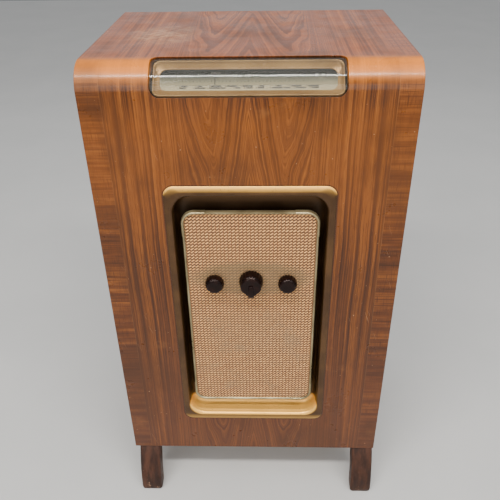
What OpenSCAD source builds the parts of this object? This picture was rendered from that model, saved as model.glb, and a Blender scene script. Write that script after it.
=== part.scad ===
// Console radio on four sabre legs: a veneered cabinet whose front bends over into its top,
// a curved dial window in the bend, a floating grille panel in a moulded surround, and a
// five-valve chassis with its loudspeaker inside.
// Millimetres. X to the right, Y to the back, Z up, origin on the floor under the middle.
// Every sub-part is drawn with its Y counted from the front face of the cabinet, and
// in_cabinet() then moves it so that the origin lies under the middle of the whole object.

/* [Cabinet] */
// Width of the cabinet over its side panels
body_w = 520; // [500:1:560]
// Height of the cabinet without its legs
body_h = 828; // [820:1:860]
// Depth of the cabinet from its front face to its back edge
body_d = 399; // [390:1:430]
// Thickness of the cabinet boards
board_t = 18; // [15:0.5:18]
// Outer radius of the bend from the front into the top
bend_r = 42; // [40:1:46]
// Distance of the back cover's outer face from the back edge
back_inset = 10; // [6:1:14]

/* [Legs] */
// Height of the legs
leg_h = 111; // [100:1:120]
// Width of a leg seen from the front
leg_w = 44.5; // [38:0.5:50]
// Thickness of a leg along its sweep
leg_t = 33; // [28:1:38]
// How far a toe stands out past the face of the cabinet
leg_kick = 29; // [20:1:34]
// How far the top of a leg stands back from the face
leg_setback = 4; // [2:1:8]
// Gap from the left edge of the cabinet to the left legs
leg_inset_left = 8.5; // [1:0.5:12]
// Gap from the right edge of the cabinet to the right legs
leg_inset_right = 1.5; // [1:0.5:12]

/* [Surround] */
// Outer width of the moulded surround
surround_w = 286; // [280:1:300]
// Outer height of the moulded surround
surround_h = 541; // [530:1:550]
// Height of the surround's lower edge above the bottom of the cabinet
surround_up = 92; // [85:1:100]
// Outer corner radius of the surround
surround_r = 18; // [12:1:24]
// Width of the recess inside the surround
recess_w = 260; // [256:1:264]
// Height of the recess inside the surround
recess_h = 505; // [500:1:510]
// Corner radius of the recess
recess_r = 33; // [28:1:38]
// Depth of the recess behind the front face
recess_d = 30; // [26:1:32]
// How far the surround stands proud of the front face
surround_proud = 3; // [2:0.5:4]

/* [Grille panel] */
// Outer width of the grille panel over its metal trim
grille_w = 237; // [230:1:240]
// Outer height of the grille panel over its metal trim
grille_h = 441; // [430:1:446]
// Outer corner radius of the trim
grille_r = 23; // [18:1:28]
// Width of the trim seen from the front
trim_w = 5.4; // [4:0.2:7]
// Length of a trim corner piece along the ends
corner_run_x = 42; // [34:1:50]
// Length of a trim corner piece along the sides
corner_run_z = 48; // [34:1:60]

/* [Dial window] */
// Width of the window in the bend
window_w = 296; // [290:1:300]
// How far the window runs past the bend at each end
window_past = 6; // [4:0.5:8]
// Corner radius of the window
window_r = 13; // [10:1:16]

/* [Controls] */
// Distance from the middle control to each side control
knob_pitch = 65; // [60:0.5:70]
// Height of the controls above the bottom of the cabinet
knob_up = 444; // [440:1:450]
// Diameter of the volume and tone knobs
small_knob_d = 34.4; // [30:0.2:38]
// Largest diameter of the tuning knob
tuning_knob_d = 43.4; // [38:0.2:46]
// Diameter of the wave-change knob without its pointer
wave_knob_d = 37; // [32:0.5:38]
// Distance from the axis to the tip of the wave-change pointer
wave_pointer = 20.5; // [20:0.5:24]

/* [Drive] */
// Radius of the cord on the tuning drum
drum_r = 70; // [66:0.5:70]
// Radius of the cord on the tuning spindle
drive_r = 5.6; // [5.4:0.1:6]
// Radius of the cord on a dial pulley
pulley_r = 9; // [8.5:0.5:10]
// Place of the pointer at rest, left of the middle
pointer_rest = 51; // [20:1:80]

/* [Loudspeaker] */
// Outer diameter of the loudspeaker
speaker_d = 202; // [198:1:206]
// Height of the loudspeaker's axis above the bottom of the cabinet
speaker_up = 260; // [255:1:270]

/* [Hidden] */
$fn = 72;

// Cabinet
base_z = leg_h;
top_z = leg_h + body_h;
bend_z = top_z - bend_r;
side_x = body_w / 2;
inner_x = side_x - board_t;
inner_top = top_z - board_t;
back_t = 3.8;
back_y = body_d - back_inset - back_t;
batten_w = 16;
batten_gap = 0.2;
shelf_t = 15;
shelf_y = 60;
shelf_z = base_z + 404;
shelf_batten = 20;
block_leg = 25;

// Legs: both faces are arcs about one axis at floor level, upright at the floor
leg_rise = leg_kick + leg_setback;
sweep_r = (leg_rise * leg_rise + leg_h * leg_h) / (2 * leg_rise);
leg_x_left = -side_x + leg_inset_left + leg_w / 2;
leg_x_right = side_x - leg_inset_right - leg_w / 2;

// Back cover: screws, vents and the windows cut in it
screw_r = 2;
screw_head_r = 5;
screw_head_h = 3;
screw_len = 14;
side_screw_x = inner_x - batten_w / 2;
side_screw_z = [base_z + 90, base_z + 280, base_z + 470, base_z + 660];
end_screw_x = [-120, 0, 120];
screw_points = concat(
    [for (s = [-1, 1], z = side_screw_z) [s * side_screw_x, z]],
    [for (x = end_screw_x) [x, inner_top - batten_w / 2]],
    [for (x = end_screw_x) [x, base_z + board_t / 2]]
);
vent_w = 70;
vent_h = 7;
vent_pitch = 24;
grommet_x = 190;
grommet_z = base_z + 49;
grommet_bore_r = 4;
grommet_r = 8.9;
grommet_flange_r = 12;
grommet_flange_t = 1.8;

// Surround, baffle and grille panel
surround_z = base_z + surround_up + surround_h / 2;
trough_wall = 2;
fit_gap = 0.3;
flange_hole_w = 196;
flange_hole_h = 400;
baffle_t = 12;
baffle_w = 332;
baffle_z = [base_z + 69, base_z + 649];
baffle_batten_w = 30;
cloth_y = 5.8;
cloth_t = 1.2;
grille_board_t = 5;
grille_back = cloth_y + cloth_t + grille_board_t;
trim_front = 2.5;
trim_wall = 4.3;
trim_step = 0.8;
spacer_r = 6;
spacer_x = 107;
spacer_z = [-190, 0, 190];
sound_w = 180;
sound_h = 190;
sound_r = 20;

// Dial window: a square of this side, seen from the end, holds the opening's chord
window_side = bend_r + window_past;
window_len = window_side * sqrt(2);
window_cut = 40;
cover_drop = 2.4;
cover_t = 2;
cover_gap = 1;
bezel_w = 292;
bezel_len = 60;
bezel_front = -3;
bezel_back = -10;
dial_open_w = 265;
dial_open_len = 33;
scale_w = 274;
scale_lo = -20;
scale_hi = 9.5;
scale_t = 2;
cheek_x = 141;
cheek_t = 2;
tray_t = 2;
tray_y = 60;
tray_w = 118.5;
rail_v = 12;
rail_w = -22;
rail_r = 2;
lamp_x = [-70, 70];
lamp_v = -8;
pulley_x = 130;
pulley_z = top_z - 50;
pulley_rim = 1.5;
stud_r = 2;
run_gap = 0.05;

// Controls: Y of the faces, counted from the front face of the cabinet
knob_z = base_z + knob_up;
small_face = -19;
small_back = -2.5;
tuning_face = -17;
tuning_back = 3.5;
wave_face = -21;
wave_back = -17.5;
wave_bar = -24;
hub_end = 5;
spindle_r = 3;
tube_r = 5;
drive_wheel_r = 8;

// Drive: two cords lie in the grooves of one drum
drum_y = 52;
cord_d = 1.2;
pointer_cord_y = drum_y - 2.5;
tuning_cord_y = drum_y + 2.5;
drum_z = knob_z + 85;
drum_half = 5;
groove_gap = 1;
groove_half = 1;
groove_flare = 0.6;
rim_h = 2;
pointer_travel = PI * drum_r;
rotor_angle = (pointer_travel / 2 - pointer_rest) / drum_r * 180 / PI;

// Chassis
chassis_w = 360;
chassis_y = [62, 312];
chassis_wall = 2;
chassis_z = shelf_z + shelf_t;
chassis_h = 62;
deck_z = chassis_z + chassis_h;
pot_r = 12.5;
pot_y = [64, 80];
bush_r = 4.8;
rotor_r = 26;
vane_t = 0.8;
vane_pitch = 4;
vanes = 7;
pack_y = [92, 128];
gang_y = [84, 162];
gang_half_w = 36;
gang_top = drum_z + 40;
valve_at = [[-80, 110], [-145, 110], [-150, 185], [-80, 205], [60, 200]];
if_can_at = [[-112, 155], [-118, 235]];
socket_x = [-122, -104, -76, -58];
socket_z = chassis_z + 31;
socket_r = 2.1;

// Loudspeaker
speaker_z = base_z + speaker_up;
edge_t = 2;
speaker_y = recess_d + baffle_t + edge_t;
speaker_hole_r = 88;

// ---- Helpers ----

// Moves a sub-part from the front face to the middle of the object
module in_cabinet() {
    translate([0, -body_d / 2, 0]) children();
}

// A box between three pairs of limits
module block(x, y, z) {
    translate([x[0], y[0], z[0]]) cube([x[1] - x[0], y[1] - y[0], z[1] - z[0]]);
}

// Two boxes mirrored left and right
module block_pair(x, y, z) {
    block(x, y, z);
    block([-x[1], -x[0]], y, z);
}

// A rectangle with round corners, centred
module rounded(w, h, r) {
    square([w - 2 * r, h], center = true);
    square([w, h - 2 * r], center = true);
    for (sx = [-1, 1], sy = [-1, 1])
        translate([sx * (w / 2 - r), sy * (h / 2 - r)]) circle(r);
}

// An upright plate with round corners between two depths
module plate(w, h, r, y, z) {
    translate([0, y[1], z]) rotate([90, 0, 0])
        linear_extrude(y[1] - y[0]) rounded(w, h, r);
}

// A round bar along Y
module rod(r, y, x = 0, z = 0) {
    translate([x, y[1], z]) rotate([90, 0, 0]) cylinder(r = r, h = y[1] - y[0]);
}

// A turned shape about an axis along Y, its profile given as radius and depth
module turned(points, x = 0, z = 0) {
    translate([x, 0, z]) rotate([90, 0, 0]) mirror([0, 0, 1])
        rotate_extrude() polygon(points);
}

// A horizontal cylinder along X about the axis of the bend
module bend_cylinder(r, w) {
    translate([0, bend_r, bend_z]) rotate([0, 90, 0]) cylinder(r = r, h = w, center = true);
}

// A sheet that follows the front, the bend and the top, a given drop below the outside
module waterfall(drop, t, w, z_lo, y_hi) {
    r = bend_r - drop;
    translate([-w / 2, 0, 0]) rotate([90, 0, 90]) linear_extrude(w) {
        translate([drop, z_lo]) square([t, bend_z - z_lo]);
        translate([bend_r, top_z - drop - t]) square([y_hi - bend_r, t]);
        intersection() {
            translate([bend_r, bend_z]) difference() {
                circle(r);
                circle(r - t);
            }
            translate([0, bend_z]) square(bend_r);
        }
    }
}

// Turns a shape to lie on the slope of the dial: X across, Y up the slope, Z outwards
module on_dial() {
    translate([0, window_side / 2, top_z - window_side / 2]) rotate([45, 0, 0]) children();
}

// ---- Cabinet ----

module front_top_panel() {
    in_cabinet() color("sienna") difference() {
        waterfall(0, board_t, body_w, base_z, body_d);
        plate(recess_w + 2 * trough_wall + 2 * fit_gap, recess_h + 2 * trough_wall + 2 * fit_gap,
              recess_r + trough_wall, [-1, board_t + 1], surround_z);
        on_dial() translate([0, 0, -window_cut]) linear_extrude(2 * window_cut)
            hull() for (sx = [-1, 1], sy = [-1, 1])
                translate([sx * (window_w / 2 - window_r), sy * (window_len / 2 - window_r)])
                    circle(window_r, $fn = 48);
    }
}

module side_panel(side) {
    r = bend_r - board_t;
    translate([side * (side_x - board_t / 2), 0, 0]) {
        block([-board_t / 2, board_t / 2], [board_t, body_d], [base_z, bend_z]);
        block([-board_t / 2, board_t / 2], [bend_r, body_d], [bend_z - 1, inner_top]);
        bend_cylinder(r, board_t);
    }
}

module side_panel_left() {
    in_cabinet() color("saddlebrown") side_panel(-1);
}

module side_panel_right() {
    in_cabinet() color("saddlebrown") side_panel(1);
}

module base_board() {
    in_cabinet() color("burlywood") difference() {
        block([-inner_x, inner_x], [board_t, back_y], [base_z, base_z + board_t]);
        for (x = end_screw_x)
            rod(screw_r, [back_y - screw_len, back_y + 1], x, base_z + board_t / 2);
    }
}

module chassis_shelf() {
    in_cabinet() color("burlywood")
        block([-inner_x, inner_x], [shelf_y, back_y - batten_w], [shelf_z, shelf_z + shelf_t]);
}

// Strips that hold the back cover, the shelf and the loudspeaker baffle
module battens() {
    back = [back_y - batten_w, back_y];
    in_cabinet() color("tan") {
        difference() {
            union() {
                block_pair([inner_x - batten_w, inner_x], back,
                           [base_z + board_t, inner_top - batten_w - batten_gap]);
                block([-inner_x, inner_x], back, [inner_top - batten_w, inner_top]);
            }
            for (p = screw_points)
                rod(screw_r, [back_y - screw_len, back_y + 1], p[0], p[1]);
        }
        block_pair([inner_x - shelf_batten, inner_x], [shelf_y, back_y - batten_w],
                   [shelf_z - shelf_batten, shelf_z]);
        block_pair([baffle_w / 2 - baffle_batten_w, baffle_w / 2], [board_t, recess_d], baffle_z);
    }
}

// Triangular glue blocks in the front corners and along the base
module corner_blocks() {
    in_cabinet() color("tan") for (s = [-1, 1]) {
        for (z = [base_z + 40, base_z + 240, base_z + 520])
            translate([s * inner_x, board_t, z]) linear_extrude(120)
                polygon([[0, 0], [-s * block_leg, 0], [0, block_leg]]);
        for (y = [110, 250])
            translate([s * inner_x, y + 80, base_z + board_t]) rotate([90, 0, 0])
                linear_extrude(80) polygon([[0, 0], [-s * block_leg, 0], [0, block_leg]]);
    }
}

module vent() {
    square([vent_w - vent_h, vent_h], center = true);
    for (s = [-1, 1]) translate([s * (vent_w - vent_h) / 2, 0]) circle(vent_h / 2);
}

module back_cover() {
    edge = 0.5;
    in_cabinet() color("peru") translate([0, back_y + back_t, 0]) rotate([90, 0, 0])
        linear_extrude(back_t) difference() {
            translate([-inner_x + edge, base_z + 2])
                square([2 * (inner_x - edge), body_h - board_t - 4]);
            for (x = [-150, -50, 50, 150], row = [0 : 8])
                translate([x, base_z + 540 + row * vent_pitch]) vent();
            for (x = [-100, 0, 100], row = [0 : 6])
                translate([x, base_z + 180 + row * vent_pitch]) vent();
            translate([-140, socket_z - 16]) square([100, 32]);
            translate([grommet_x, grommet_z]) circle(grommet_r);
            for (p = screw_points) translate(p) circle(screw_r + 0.4);
        }
}

module back_cover_screws() {
    head_y = back_y + back_t;
    in_cabinet() color("goldenrod") for (p = screw_points) difference() {
        turned([[0, head_y - screw_len], [screw_r, head_y - screw_len], [screw_r, head_y],
                [screw_head_r, head_y], [screw_head_r - 0.6, head_y + 1.6],
                [2.6, head_y + screw_head_h], [0, head_y + screw_head_h]], p[0], p[1]);
        block([p[0] - 6, p[0] + 6], [head_y + 2, head_y + 4], [p[1] - 0.5, p[1] + 0.5]);
    }
}

module mains_grommet() {
    face = back_y + back_t;
    in_cabinet() color("black")
        turned([[grommet_bore_r, back_y - grommet_flange_t],
                [grommet_flange_r, back_y - grommet_flange_t], [grommet_flange_r, back_y],
                [grommet_r, back_y], [grommet_r, face], [grommet_flange_r, face],
                [grommet_flange_r, face + grommet_flange_t],
                [grommet_bore_r, face + grommet_flange_t]], grommet_x, grommet_z);
}

// A leg whose front and back faces are arcs about one axis at floor level
module sabre_leg(x) {
    translate([x, 0, 0]) intersection() {
        translate([0, sweep_r - leg_kick, 0]) rotate([0, 90, 0]) difference() {
            cylinder(r = sweep_r, h = leg_w, center = true, $fn = 180);
            cylinder(r = sweep_r - leg_t, h = leg_w + 2, center = true, $fn = 180);
        }
        block([-leg_w, leg_w], [-leg_kick - 1, 3 * leg_t], [0, leg_h]);
    }
}

module rear_leg(x) {
    translate([0, body_d, 0]) mirror([0, 1, 0]) sabre_leg(x);
}

module front_leg_left() {
    in_cabinet() color("#3a1f16") sabre_leg(leg_x_left);
}

module front_leg_right() {
    in_cabinet() color("#3a1f16") sabre_leg(leg_x_right);
}

module rear_leg_left() {
    in_cabinet() color("#3a1f16") rear_leg(leg_x_left);
}

module rear_leg_right() {
    in_cabinet() color("#3a1f16") rear_leg(leg_x_right);
}

// ---- Surround and grille panel ----

// Moulded ring, recess wall and back flange in one piece
module surround_trough() {
    outer_w = recess_w + 2 * trough_wall;
    outer_h = recess_h + 2 * trough_wall;
    in_cabinet() color("goldenrod") {
        difference() {
            union() {
                plate(surround_w, surround_h, surround_r, [-surround_proud, 0], surround_z);
                plate(outer_w, outer_h, recess_r + trough_wall, [-1, recess_d], surround_z);
            }
            plate(recess_w, recess_h, recess_r,
                  [-surround_proud - 1, recess_d - trough_wall], surround_z);
            plate(flange_hole_w, flange_hole_h, 10, [0, recess_d + 1], surround_z);
        }
    }
}

module speaker_baffle() {
    in_cabinet() color("peru") difference() {
        block([-baffle_w / 2, baffle_w / 2], [recess_d, recess_d + baffle_t], baffle_z);
        rod(speaker_hole_r, [recess_d - 1, recess_d + baffle_t + 1], 0, speaker_z);
        for (x = [-knob_pitch, 0, knob_pitch])
            rod(10, [recess_d - 1, recess_d + baffle_t + 1], x, knob_z);
    }
}

module grille_board() {
    y = [cloth_y + cloth_t, grille_back];
    in_cabinet() color("sienna") difference() {
        plate(grille_w - 2 * trim_wall, grille_h - 2 * trim_wall, grille_r - trim_wall, y,
              surround_z);
        plate(sound_w, sound_h, sound_r, [y[0] - 1, y[1] + 1], speaker_z);
        for (x = [-knob_pitch, 0, knob_pitch]) rod(8, [y[0] - 1, y[1] + 1], x, knob_z);
    }
}

module grille_cloth() {
    y = [cloth_y, cloth_y + cloth_t];
    in_cabinet() color("burlywood") difference() {
        plate(grille_w - 2 * trim_wall, grille_h - 2 * trim_wall, grille_r - trim_wall, y,
              surround_z);
        for (x = [-knob_pitch, 0, knob_pitch]) rod(6.5, [y[0] - 1, y[1] + 1], x, knob_z);
    }
}

module grille_spacers() {
    in_cabinet() color("tan") for (s = [-1, 1], z = spacer_z)
        rod(spacer_r, [grille_back, recess_d - trough_wall], s * spacer_x, surround_z + z);
}

// The whole trim: a front lip over the cloth and a wall round the board
module trim_ring(step) {
    w = grille_w - 2 * step;
    h = grille_h - 2 * step;
    r = grille_r - step;
    difference() {
        plate(w, h, r, [trim_front + step / 2, grille_back], surround_z);
        plate(grille_w - 2 * trim_wall, grille_h - 2 * trim_wall, grille_r - trim_wall,
              [cloth_y, grille_back + 1], surround_z);
        plate(grille_w - 2 * trim_w, grille_h - 2 * trim_w, grille_r - trim_w,
              [trim_front - 1, grille_back], surround_z);
    }
}

module trim_ends() {
    x = grille_w / 2 - corner_run_x;
    in_cabinet() color("darkkhaki") for (s = [-1, 1]) intersection() {
        trim_ring(trim_step);
        translate([0, 0, surround_z + s * grille_h / 2]) block([-x, x], [0, 20], [-20, 20]);
    }
}

module trim_sides() {
    z = grille_h / 2 - corner_run_z;
    in_cabinet() color("darkkhaki") for (s = [-1, 1]) intersection() {
        trim_ring(trim_step);
        translate([s * grille_w / 2, 0, surround_z]) block([-20, 20], [0, 20], [-z, z]);
    }
}

module trim_corners() {
    x = grille_w / 2 - corner_run_x;
    z = grille_h / 2 - corner_run_z;
    in_cabinet() color("khaki") for (sx = [-1, 1], sz = [-1, 1]) intersection() {
        trim_ring(0);
        translate([sx * (x + corner_run_x), 0, surround_z + sz * (z + corner_run_z)])
            block([-corner_run_x, corner_run_x], [0, 20], [-corner_run_z, corner_run_z]);
    }
}

// ---- Dial ----

module dial_cover() {
    in_cabinet() color("lightgrey", 0.5) intersection() {
        waterfall(cover_drop, cover_t, window_w, bend_z - 20, bend_r + 20);
        on_dial() translate([0, 0, -window_cut]) linear_extrude(2 * window_cut)
            rounded(window_w - 2 * cover_gap, window_len - 2 * cover_gap,
                    window_r - cover_gap);
    }
}

// Picture-frame moulding whose border slopes in to the scale
module dial_bezel() {
    in_cabinet() color("goldenrod") on_dial() difference() {
        translate([0, 0, bezel_back]) linear_extrude(bezel_front - bezel_back)
            rounded(bezel_w, bezel_len, 11);
        hull() {
            translate([0, 0, bezel_front]) linear_extrude(1)
                rounded(bezel_w - 5, bezel_len - 5, 9, $fn = 32);
            translate([0, 0, bezel_back - 1]) linear_extrude(1)
                rounded(dial_open_w, dial_open_len, 7, $fn = 32);
        }
    }
}

module dial_scale() {
    in_cabinet() color("lightgoldenrodyellow") on_dial()
        block([-scale_w / 2, scale_w / 2], [scale_lo, scale_hi],
              [bezel_back - scale_t, bezel_back]);
}

// Steel bracket: cheeks, lamp plate, back plate with pulley studs, and a flange to the top
module dial_tray() {
    in_cabinet() color("silver") difference() {
        union() {
            on_dial() {
                block_pair([cheek_x, cheek_x + cheek_t], [-17, 17], [-32, bezel_back]);
                block([-tray_w, tray_w], [-17, 5], [-34, -32]);
                block_pair([tray_w - 4, tray_w], [-17, 10], [-34, -32]);
                for (x = lamp_x) translate([x, lamp_v, -33]) cylinder(r = 5, h = 7);
            }
            block([-cheek_x - cheek_t, cheek_x + cheek_t], [tray_y, tray_y + tray_t],
                  [top_z - 67, inner_top]);
            block([-cheek_x - cheek_t, cheek_x + cheek_t], [tray_y, tray_y + 28],
                  [inner_top - tray_t, inner_top]);
            block_pair([cheek_x, cheek_x + cheek_t], [42, tray_y + 1],
                       [top_z - 54, top_z - 38]);
            block_pair([tray_w - 4, tray_w], [52, tray_y + 1], [top_z - 51, top_z - 42]);
            for (s = [-1, 1]) rod(stud_r, [pointer_cord_y - 4, tray_y + 1], s * pulley_x,
                                  pulley_z);
        }
        on_dial() translate([0, rail_v, rail_w]) rotate([0, 90, 0])
            cylinder(r = rail_r, h = body_w, center = true);
    }
}

module pointer_rail() {
    in_cabinet() color("silver") on_dial() translate([0, rail_v, rail_w]) rotate([0, 90, 0])
        cylinder(r = rail_r, h = 2 * (cheek_x + cheek_t), center = true);
}

// Carriage on the rail, its cord clamp, and the needle that hooks over the scale
module dial_pointer() {
    needle = 0.6;
    in_cabinet() color("darkred") translate([-pointer_rest, 0, 0]) {
        on_dial() {
            difference() {
                block([-7, 7], [rail_v - 5, rail_v + 5], [rail_w - 5, rail_w + 5]);
                translate([0, rail_v, rail_w]) rotate([0, 90, 0])
                    cylinder(r = rail_r + run_gap, h = 20, center = true);
            }
            block([-needle, needle], [11.5, 13], [rail_w + 4, bezel_back + 1.2]);
            block([-needle, needle], [-9, 13], [bezel_back + 0.4, bezel_back + 1.2]);
        }
        block([-3, 3], [pointer_cord_y + 1.1, pointer_cord_y + 2.5],
              [top_z - 43, top_z - 36]);
    }
}

module dial_lamps() {
    in_cabinet() color("lightyellow") on_dial() for (x = lamp_x)
        translate([x, lamp_v, 0]) {
            translate([0, 0, -26]) cylinder(r = 4, h = 6);
            translate([0, 0, -19]) sphere(5.5);
        }
}

// A groove's profile between two rims, from its lower to its upper edge
function groove(r, y) = [
    [r + rim_h, y - groove_half - groove_flare], [r - groove_gap, y - groove_half],
    [r - groove_gap, y + groove_half], [r + rim_h, y + groove_half + groove_flare]
];

module dial_pulley(side) {
    rim = pulley_r + pulley_rim;
    y = pointer_cord_y;
    bore = stud_r + run_gap;
    turned([[bore, y - 2.5], [rim, y - 2.5], [rim, y - 1.7], [pulley_r - groove_gap, y - 1],
            [pulley_r - groove_gap, y + 1], [rim, y + 1.7], [rim, y + 2.5],
            [bore, y + 2.5]], side * pulley_x, pulley_z);
}

module pulley_left() {
    in_cabinet() color("ivory") dial_pulley(-1);
}

module pulley_right() {
    in_cabinet() color("ivory") dial_pulley(1);
}

// A taut cord loop round a list of circles, each given as X, Z and radius
module cord_loop(circles, y) {
    translate([0, y + cord_d / 2, 0]) rotate([90, 0, 0]) linear_extrude(cord_d) difference() {
        hull() for (c = circles)
            translate([c[0], c[1]]) circle(c[2] + cord_d / 2, $fn = 64);
        hull() for (c = circles)
            translate([c[0], c[1]]) circle(c[2] - cord_d / 2, $fn = 64);
    }
}

module pointer_cord() {
    in_cabinet() color("wheat")
        cord_loop([[0, drum_z, drum_r], [-pulley_x, pulley_z, pulley_r],
                   [pulley_x, pulley_z, pulley_r]], pointer_cord_y);
}

module tuning_cord() {
    in_cabinet() color("wheat")
        cord_loop([[0, drum_z, drum_r], [0, knob_z, drive_r]], tuning_cord_y);
}

// ---- Controls ----

// Shallow flutes round a knob
module flutes(count, r, y, x) {
    for (i = [0 : count - 1]) translate([x, 0, knob_z]) rotate([0, i * 360 / count, 0])
        rod(1.2, y, r + 0.6, 0);
}

module small_knob(x) {
    r = small_knob_d / 2;
    difference() {
        turned([[0, small_face], [r - 2.6, small_face], [r - 0.6, small_face + 2.2],
                [r, small_face + 5], [r, small_back], [7, small_back], [6.2, hub_end],
                [0, hub_end]], x, knob_z);
        flutes(18, r, [small_face + 3, small_back + 1], x);
        rod(spindle_r, [small_face + 8, hub_end + 1], x, knob_z);
    }
}

module small_spindle(x) {
    rod(spindle_r, [small_face + 8, pot_y[0] + 8], x, knob_z);
}

module volume_knob() {
    in_cabinet() color("#1c1210") small_knob(-knob_pitch);
}

module volume_spindle() {
    in_cabinet() color("silver") small_spindle(-knob_pitch);
}

module tone_knob() {
    in_cabinet() color("#1c1210") small_knob(knob_pitch);
}

module tone_spindle() {
    in_cabinet() color("silver") small_spindle(knob_pitch);
}

module tuning_knob() {
    r = tuning_knob_d / 2;
    in_cabinet() color("#1c1210") difference() {
        turned([[0, tuning_face], [r - 4.2, tuning_face], [r - 2.7, tuning_face + 1.5],
                [r, tuning_back - 2], [r - 0.6, tuning_back], [9, tuning_back],
                [8, hub_end], [0, hub_end]], 0, knob_z);
        flutes(24, r, [tuning_face + 6, tuning_back + 1], 0);
        rod(tube_r, [tuning_face + 2, hub_end + 1], 0, knob_z);
        rod(spindle_r + 0.5, [tuning_face - 1, tuning_face + 3], 0, knob_z);
    }
}

// Tube over the wave-change spindle, with the grooved wheel that drives the cord
module tuning_spindle() {
    in_cabinet() color("silver") difference() {
        union() {
            rod(tube_r - 0.4, [tuning_face + 2, chassis_y[0] + 10], 0, knob_z);
            rod(tube_r, [tuning_face + 2, tuning_cord_y - 4], 0, knob_z);
            rod(tube_r, [tuning_cord_y + 4, chassis_y[0] + 10], 0, knob_z);
            for (s = [-1, 1]) rod(drive_wheel_r,
                [tuning_cord_y + s * 2.25 - 0.75, tuning_cord_y + s * 2.25 + 0.75], 0, knob_z);
        }
        rod(spindle_r + run_gap, [tuning_face, chassis_y[0] + 12], 0, knob_z);
    }
}

// Round disc with a tapered pointer and a raised bar along it
module wave_knob() {
    r = wave_knob_d / 2;
    tail = [[-11, -11], [-6, -wave_pointer + 2], [-4, -wave_pointer], [4, -wave_pointer],
            [6, -wave_pointer + 2], [11, -11], [0, 4]];
    in_cabinet() color("#150d0c") difference() {
        union() {
            turned([[0, wave_face], [r - 2, wave_face], [r, wave_face + 1.5], [r, wave_back],
                    [0, wave_back]], 0, knob_z);
            translate([0, wave_back, knob_z]) rotate([90, 0, 0])
                linear_extrude(wave_back - wave_face) polygon(tail);
            block([-4, 4], [wave_bar, wave_face + 1], [knob_z - wave_pointer + 1, knob_z + 4]);
        }
        rod(spindle_r, [wave_face + 2, wave_back + 1], 0, knob_z);
    }
}

module wave_spindle() {
    in_cabinet() color("silver") rod(spindle_r, [wave_face + 2, 104], 0, knob_z);
}

// ---- Chassis ----

module chassis_pan() {
    x = chassis_w / 2;
    in_cabinet() color("silver") difference() {
        block([-x, x], chassis_y, [chassis_z, deck_z]);
        block([-x + chassis_wall, x - chassis_wall],
              [chassis_y[0] + chassis_wall, chassis_y[1] - chassis_wall],
              [chassis_z - 1, deck_z - chassis_wall]);
        for (s = [-1, 1]) rod(bush_r + 0.2, [chassis_y[0] - 1, chassis_y[0] + 4],
                              s * knob_pitch, knob_z);
        rod(tube_r + run_gap, [chassis_y[0] - 1, chassis_y[0] + 4], 0, knob_z);
        for (x = socket_x) rod(6, [chassis_y[1] - 4, chassis_y[1] + 1], x, socket_z);
    }
}

module potentiometer(x) {
    difference() {
        union() {
            rod(pot_r, pot_y, x, knob_z);
            rod(bush_r, [pot_y[0] - 7, pot_y[0] + 1], x, knob_z);
            translate([x, chassis_y[0], knob_z]) rotate([90, 0, 0])
                cylinder(r = 8, h = 2.5, $fn = 6);
        }
        rod(spindle_r + run_gap, [pot_y[0] - 8, pot_y[0] + 10], x, knob_z);
    }
}

module volume_control() {
    in_cabinet() color("dimgray") potentiometer(-knob_pitch);
}

module tone_control() {
    in_cabinet() color("dimgray") potentiometer(knob_pitch);
}

// Rotary switch: index plate, two wafers, and the pillars that carry them
module wave_switch() {
    in_cabinet() color("peru") difference() {
        union() {
            block([-23, 23], [76, 79], [knob_z - 20, knob_z + 20]);
            for (y = [86, 98]) rod(20, [y, y + 2], 0, knob_z);
            for (s = [-1, 1]) rod(2.5, [chassis_y[0] + chassis_wall, 104], s * 17, knob_z);
        }
        rod(spindle_r + run_gap, [70, 106], 0, knob_z);
    }
}

// Frame of the tuning capacitor on three rubber feet
module gang_frame() {
    x = gang_half_w;
    floor_z = deck_z + 3;
    in_cabinet() color("gainsboro") difference() {
        union() {
            for (y = [gang_y[0], gang_y[1] - 2])
                block([-x, x], [y, y + 2], [floor_z, gang_top]);
            block([-x, x], gang_y, [floor_z, floor_z + 2]);
            for (p = [[-25, 94], [25, 94], [0, 152]])
                translate([p[0], p[1], deck_z]) cylinder(r = 5, h = 4);
        }
        rod(spindle_r + run_gap, [gang_y[0] - 1, gang_y[1] + 1], 0, drum_z);
    }
}

// Fixed plates of the tuning capacitor, in two packs on two bars
module gang_stator() {
    in_cabinet() color("lightgrey") {
        for (y0 = pack_y, i = [0 : vanes]) difference() {
            y = y0 + (i - 0.5) * vane_pitch;
            block([-30, 30], [y, y + vane_t], [drum_z - 32, drum_z - 4]);
            rod(6, [y - 1, y + vane_t + 1], 0, drum_z);
        }
        block_pair([29, 33], [gang_y[0] + 2, gang_y[1] - 2], [drum_z - 30, drum_z - 22]);
    }
}

// Shaft and half-round moving plates of the tuning capacitor
module gang_rotor() {
    in_cabinet() color("whitesmoke") {
        rod(spindle_r, [drum_y - drum_half, gang_y[1] + 3], 0, drum_z);
        for (y0 = pack_y, i = [0 : vanes - 1])
            translate([0, y0 + i * vane_pitch, drum_z]) rotate([-90, 0, 0])
                rotate([0, 0, 90 - rotor_angle]) rotate_extrude(angle = 180)
                    translate([spindle_r - 1, 0]) square([rotor_r - spindle_r + 1, vane_t]);
    }
}

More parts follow.
